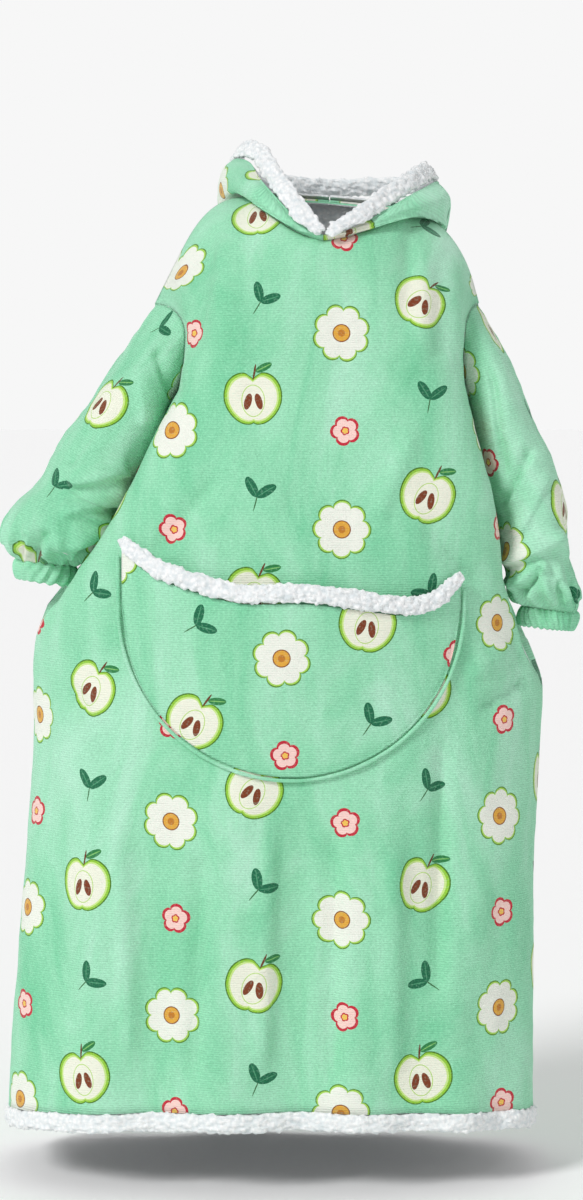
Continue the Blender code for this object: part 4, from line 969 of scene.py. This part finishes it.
@dataclass
class Roll:
    """A padded sherpa roll or a small casing, made from a packed roll."""

    node: str
    levels: int = 3
    clump: float = 0.0080
    height: float = 0.0056
    fill: float = 0.6
    seed: float = 0.0
    slot: str = "sherpa"
    sharp: float = 0.0
    lumps: float = 0.0018

    def shape(self, points: np.ndarray) -> np.ndarray:
        """Forms of the roll's own, as a lift in metres."""
        return np.zeros(len(points))

    def moved(self, points: np.ndarray) -> np.ndarray:
        """The points, moved as the roll needs."""
        return points

    def build(self, finish: bpy.types.Material) -> bpy.types.Object:
        """Build and dress the roll.

        Args:
            finish: its material.

        Returns:
            The finished object.
        """
        piece = smoothed_copy(self.node, "roll_" + self.node, self.levels, self.sharp, [finish])
        mesh = piece.data
        points, facing = coordinates(mesh), normals(mesh)
        write_uv(mesh, points[:, [0, 2]])
        lift = self.lumps * soft_noise(points, 0.022, self.seed) + self.shape(points)
        if self.height:
            curls = clump_noise(points, self.clump, self.seed)
            lift += self.height * (curls - 0.45)
            lift += 0.3 * self.height * soft_noise(points, self.clump * 0.4, self.seed + 3)
        set_points(mesh, self.moved(points) + facing * lift[:, None])
        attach(piece, "root")
        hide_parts(self.node)
        LOG.info("%s: %d faces", piece.name, len(mesh.polygons))
        return piece


@dataclass
class HoodTrim(Roll):
    """The hood's edge roll, whose two ends meet at the front of the neck."""

    meet_from_z: float = -0.004
    meet_over: float = 0.022
    meet: tuple[float, float] = (0.0072, 0.0080)
    raise_left: float = 0.0045

    def moved(self, points: np.ndarray) -> np.ndarray:
        """Draw the two ends together."""
        share = smooth_step((self.meet_from_z - points[:, 2]) / self.meet_over)
        share = share * (points[:, 1] < -0.08)
        left = points[:, 0] > 0
        step = np.zeros_like(points)
        step[:, 0] = share * np.where(left, -self.meet[1], self.meet[0])
        step[:, 2] = share * np.where(left, self.raise_left, 0.002)
        return points + step


@dataclass
class Cuff(Roll):
    """An elastic casing, drawn up in small pleats round the wrist."""

    top: tuple[float, float, float] = (0.0, 0.0, 0.0)
    end: tuple[float, float, float] = (0.0, 0.0, 0.0)
    pleats: int = 17
    pleat_height: float = 0.0030
    puff: float = 0.0030

    def shape(self, points: np.ndarray) -> np.ndarray:
        """Pleats that wander a little, as a lift in metres."""
        way = np.array(self.end) - np.array(self.top)
        way /= np.linalg.norm(way)
        apart = points - points.mean(axis=0)
        along = apart @ way
        belly = 1 - (along / np.abs(along).max()) ** 2
        apart -= along[:, None] * way
        front = np.array([0.0, -1.0, 0.0])
        front -= (front @ way) * way
        turn = np.arctan2(apart @ np.cross(way, front), apart @ front)
        wander = 3.2 * soft_noise(points, 0.040, self.seed)
        uneven = 0.8 + 0.6 * soft_noise(points, 0.030, self.seed + 3)
        pleat = uneven * np.cos(self.pleats * turn + wander)
        return self.pleat_height * (0.12 + 0.88 * belly) * pleat + self.puff * belly


# Studio

@dataclass
class Stage:
    """Pale floor, soft studio lights and the camera at the photograph's angle."""

    floor_z: float = -1.36
    floor_half: float = 60.0
    camera_place: tuple[float, float, float] = (-0.055, -5.0, -0.21)
    tilt: float = 3.8
    around: float = 0.47
    behind: float = 0.93
    suns: tuple = (("key", (-1.7, -1.9, 1.8), 1.85, 18), ("fill", (2.4, -1.6, 0.7), 0.35, 50))
    focal: float = 3497 / 1200 * 36

    def floor(self) -> None:
        """A wide level floor."""
        far = self.floor_half
        points = [(x, y, self.floor_z) for x, y in ((-far, -far), (far, -far), (far, far), (-far, far))]
        mesh = bpy.data.meshes.new("studio_floor")
        mesh.from_pydata(points, [], [(0, 1, 2, 3)])
        mesh.materials.append(Studio().make())
        thing = bpy.data.objects.new("studio_floor", mesh)
        bpy.context.scene.collection.objects.link(thing)

    def light(self) -> None:
        """Soft white surroundings, brighter behind, and a wide key from the upper left."""
        world = bpy.data.worlds.new("studio")
        bpy.context.scene.world = world
        world.use_nodes = True
        tree = world.node_tree
        way = add_node(tree, "ShaderNodeTexCoord").outputs["Generated"]
        depth = add_node(tree, "ShaderNodeSeparateXYZ", {0: way}).outputs[1]
        power = add_node(tree, "ShaderNodeMapRange", {0: depth, 1: 0.2, 2: 0.8, 3: self.around,
                         4: self.behind}, interpolation_type="SMOOTHSTEP")
        ground = tree.nodes["Background"]
        ground.inputs[0].default_value = linear("#ffffff")
        tree.links.new(power.outputs[0], ground.inputs[1])
        for name, place, power, angle in self.suns:
            data = bpy.data.lights.new(name, "SUN")
            data.energy = power
            data.angle = math.radians(angle)
            thing = bpy.data.objects.new(name, data)
            thing.rotation_euler = Vector(place).to_track_quat("Z", "Y").to_euler()
            bpy.context.scene.collection.objects.link(thing)

    def camera(self) -> None:
        """The camera, level but for a small tilt down."""
        data = bpy.data.cameras.new("camera")
        data.sensor_width = 36
        data.lens = self.focal
        thing = bpy.data.objects.new("camera", data)
        thing.location = self.camera_place
        thing.rotation_euler = (math.radians(90 - self.tilt), 0, 0)
        bpy.context.scene.collection.objects.link(thing)
        bpy.context.scene.camera = thing

    def build(self) -> None:
        """Floor, lights, camera and plain colours."""
        bpy.context.scene.view_settings.view_transform = "Standard"
        self.floor()
        self.light()
        self.camera()


FOLD_COLUMNS = "from_a from_b to_a to_b width height"
FRONT_FOLDS = table(FOLD_COLUMNS, [
    (-0.150, -0.330, -0.060, -0.400, 0.020, 0.0090),
    (-0.250, -0.470, -0.150, -0.360, 0.014, -0.0105),
    (0.120, -0.300, 0.060, -0.420, 0.018, 0.0090),
    (0.215, -0.520, 0.120, -0.420, 0.014, -0.0090),
    (-0.380, -0.650, -0.310, -0.760, 0.016, -0.0135),
    (-0.300, -0.820, -0.280, -1.180, 0.016, 0.0120),
    (-0.180, -0.860, -0.190, -1.220, 0.013, -0.0120),
    (-0.085, -0.830, -0.095, -1.200, 0.016, 0.0105),
    (0.000, -0.820, 0.000, -1.230, 0.012, -0.0120),
    (0.085, -0.850, 0.085, -1.200, 0.015, 0.0105),
    (0.160, -0.700, 0.150, -1.100, 0.014, -0.0135),
    (0.190, -0.640, 0.260, -0.600, 0.010, 0.0120),
    (0.205, -0.690, 0.280, -0.650, 0.009, -0.0120),
])
RIGHT_SLEEVE_FOLDS = table(FOLD_COLUMNS, [
    (-0.250, -0.180, -0.225, -0.260, 0.010, -0.0080),
    (-0.272, -0.200, -0.262, -0.300, 0.016, 0.0060),
    (-0.374, -0.374, -0.280, -0.356, 0.016, 0.0150),
    (-0.382, -0.418, -0.284, -0.390, 0.017, 0.0180),
    (-0.366, -0.413, -0.304, -0.433, 0.012, 0.0110),
    (-0.392, -0.466, -0.308, -0.444, 0.016, 0.0150),
    (-0.394, -0.436, -0.424, -0.500, 0.009, -0.0130),
    (-0.370, -0.470, -0.374, -0.510, 0.008, -0.0090),
    (-0.430, -0.440, -0.440, -0.490, 0.009, -0.0080),
    (-0.330, -0.290, -0.372, -0.350, 0.016, -0.0070),
])
LEFT_SLEEVE_FOLDS = table(FOLD_COLUMNS, [
    (0.221, -0.205, 0.244, -0.372, 0.009, -0.0090),
    (0.290, -0.318, 0.236, -0.412, 0.011, -0.0130),
    (0.312, -0.350, 0.262, -0.452, 0.014, 0.0060),
    (0.236, -0.494, 0.330, -0.446, 0.018, 0.0180),
    (0.306, -0.444, 0.345, -0.486, 0.015, 0.0120),
    (0.254, -0.525, 0.310, -0.486, 0.012, 0.0130),
    (0.300, -0.488, 0.268, -0.538, 0.008, -0.0140),
    (0.322, -0.505, 0.326, -0.555, 0.008, -0.0090),
    (0.345, -0.500, 0.346, -0.552, 0.008, -0.0070),
])
BACK_FOLDS = table(FOLD_COLUMNS, [
    (-0.120, -0.330, -0.020, -0.450, 0.020, 0.0078),
    (0.130, -0.330, 0.050, -0.460, 0.018, 0.0078),
    (-0.300, -0.700, -0.290, -1.240, 0.016, -0.0101),
    (-0.200, -0.620, -0.210, -1.260, 0.015, 0.0090),
    (-0.060, -0.600, -0.080, -1.260, 0.014, -0.0090),
    (0.070, -0.620, 0.060, -1.260, 0.015, 0.0090),
    (0.150, -0.640, 0.140, -1.240, 0.014, -0.0101),
    (0.215, -0.760, 0.220, -1.240, 0.013, 0.0078),
    (-0.380, -0.640, -0.360, -1.200, 0.014, 0.0090),
])


def build_cloth(outside: bpy.types.Material, inside: bpy.types.Material) -> None:
    """Build the panels, sleeves, hood and pocket."""
    panels = [
        Panel("front_panel", (0.95, 1.30), 1.06, folds=FRONT_FOLDS, seed=1.3, facing=-1,
              wrinkle=0.0034),
        Panel("back_panel", (0.95, 1.38), 1.10, folds=BACK_FOLDS, seed=5.1, facing=1,
              wrinkle=0.0034),
        Sleeve("right_sleeve", (0.50, 0.40), 0.17, seed=2.2, wrinkle=0.0040,
               wrinkle_size=0.055, levels=3, folds=RIGHT_SLEEVE_FOLDS),
        Sleeve("left_sleeve", (0.50, 0.42), 0.17, seed=3.7, side=Side.LEFT, wrinkle=0.0040,
               wrinkle_size=0.055, levels=3, folds=LEFT_SLEEVE_FOLDS, top=(0.215, 0.015, -0.18),
               elbow=(0.285, 0.0, -0.40), end=(0.315, -0.016, -0.552)),
        PocketPanel("pocket", (0.48, 0.31), 0.11, seed=8.2, seam_depth=0.0015, levels=3,
                    rests_on=("cloth_front_panel",), print_shift=(0.083, -0.094)),
    ]
    for panel in panels:
        panel.build(outside, inside)
    hood = [
        HoodHalf("hood_right", (0.45, 0.24), 0.080, seed=4.4, levels=3,
                 print_shift=(0.03, 0.07)),
        HoodHalf("hood_left", (0.45, 0.24), 0.080, seed=6.6, levels=3,
                 print_shift=(0.11, 0.02)),
    ]
    for half in hood:
        half.build(outside, outside)
    linings = [
        HoodHalf("hood_lining_right", (0.40, 0.20), 0.070, seed=9.1, slot="sherpa",
                 wrinkle=0.0025, wrinkle_size=0.02, levels=3),
        HoodHalf("hood_lining_left", (0.40, 0.20), 0.070, seed=9.9, slot="sherpa",
                 wrinkle=0.0025, wrinkle_size=0.02, levels=3),
    ]
    for lining in linings:
        lining.build(inside, inside)


def build_rolls(sherpa: bpy.types.Material, casing: bpy.types.Material) -> None:
    """Build the sherpa trims, the cuffs and the pocket's binding."""
    HoodTrim("hood_trim", seed=1.0).build(sherpa)
    for n, node in enumerate(("pocket_trim", "hem_trim_front", "hem_trim_back")):
        Roll(node, seed=2.0 + n).build(sherpa)
    plain = {"height": 0.0, "lumps": 0.0006, "slot": "flannel_casing"}
    Cuff("right_cuff", seed=7.0, top=(-0.365, 0.0, -0.395), end=(-0.405, -0.015, -0.49),
         **plain).build(casing)
    Cuff("left_cuff", seed=8.0, top=(0.285, 0.0, -0.40), end=(0.315, -0.016, -0.552),
         pleats=27, pleat_height=0.0018, puff=0.0020, **plain).build(casing)
    Roll("pocket_binding", seed=9.0, levels=2, **plain).build(casing)


def main() -> None:
    """Build every piece in order."""
    logging.basicConfig(level=logging.INFO, format="%(name)s %(message)s")
    Stage().build()
    printed = PrintedFlannel().make()
    plain = PrintedFlannel(name="plain microfibre flannel", printed=False).make()
    sherpa = Sherpa().make()
    build_cloth(printed, sherpa)
    build_rolls(sherpa, plain)


if __name__ == "__main__":
    main()
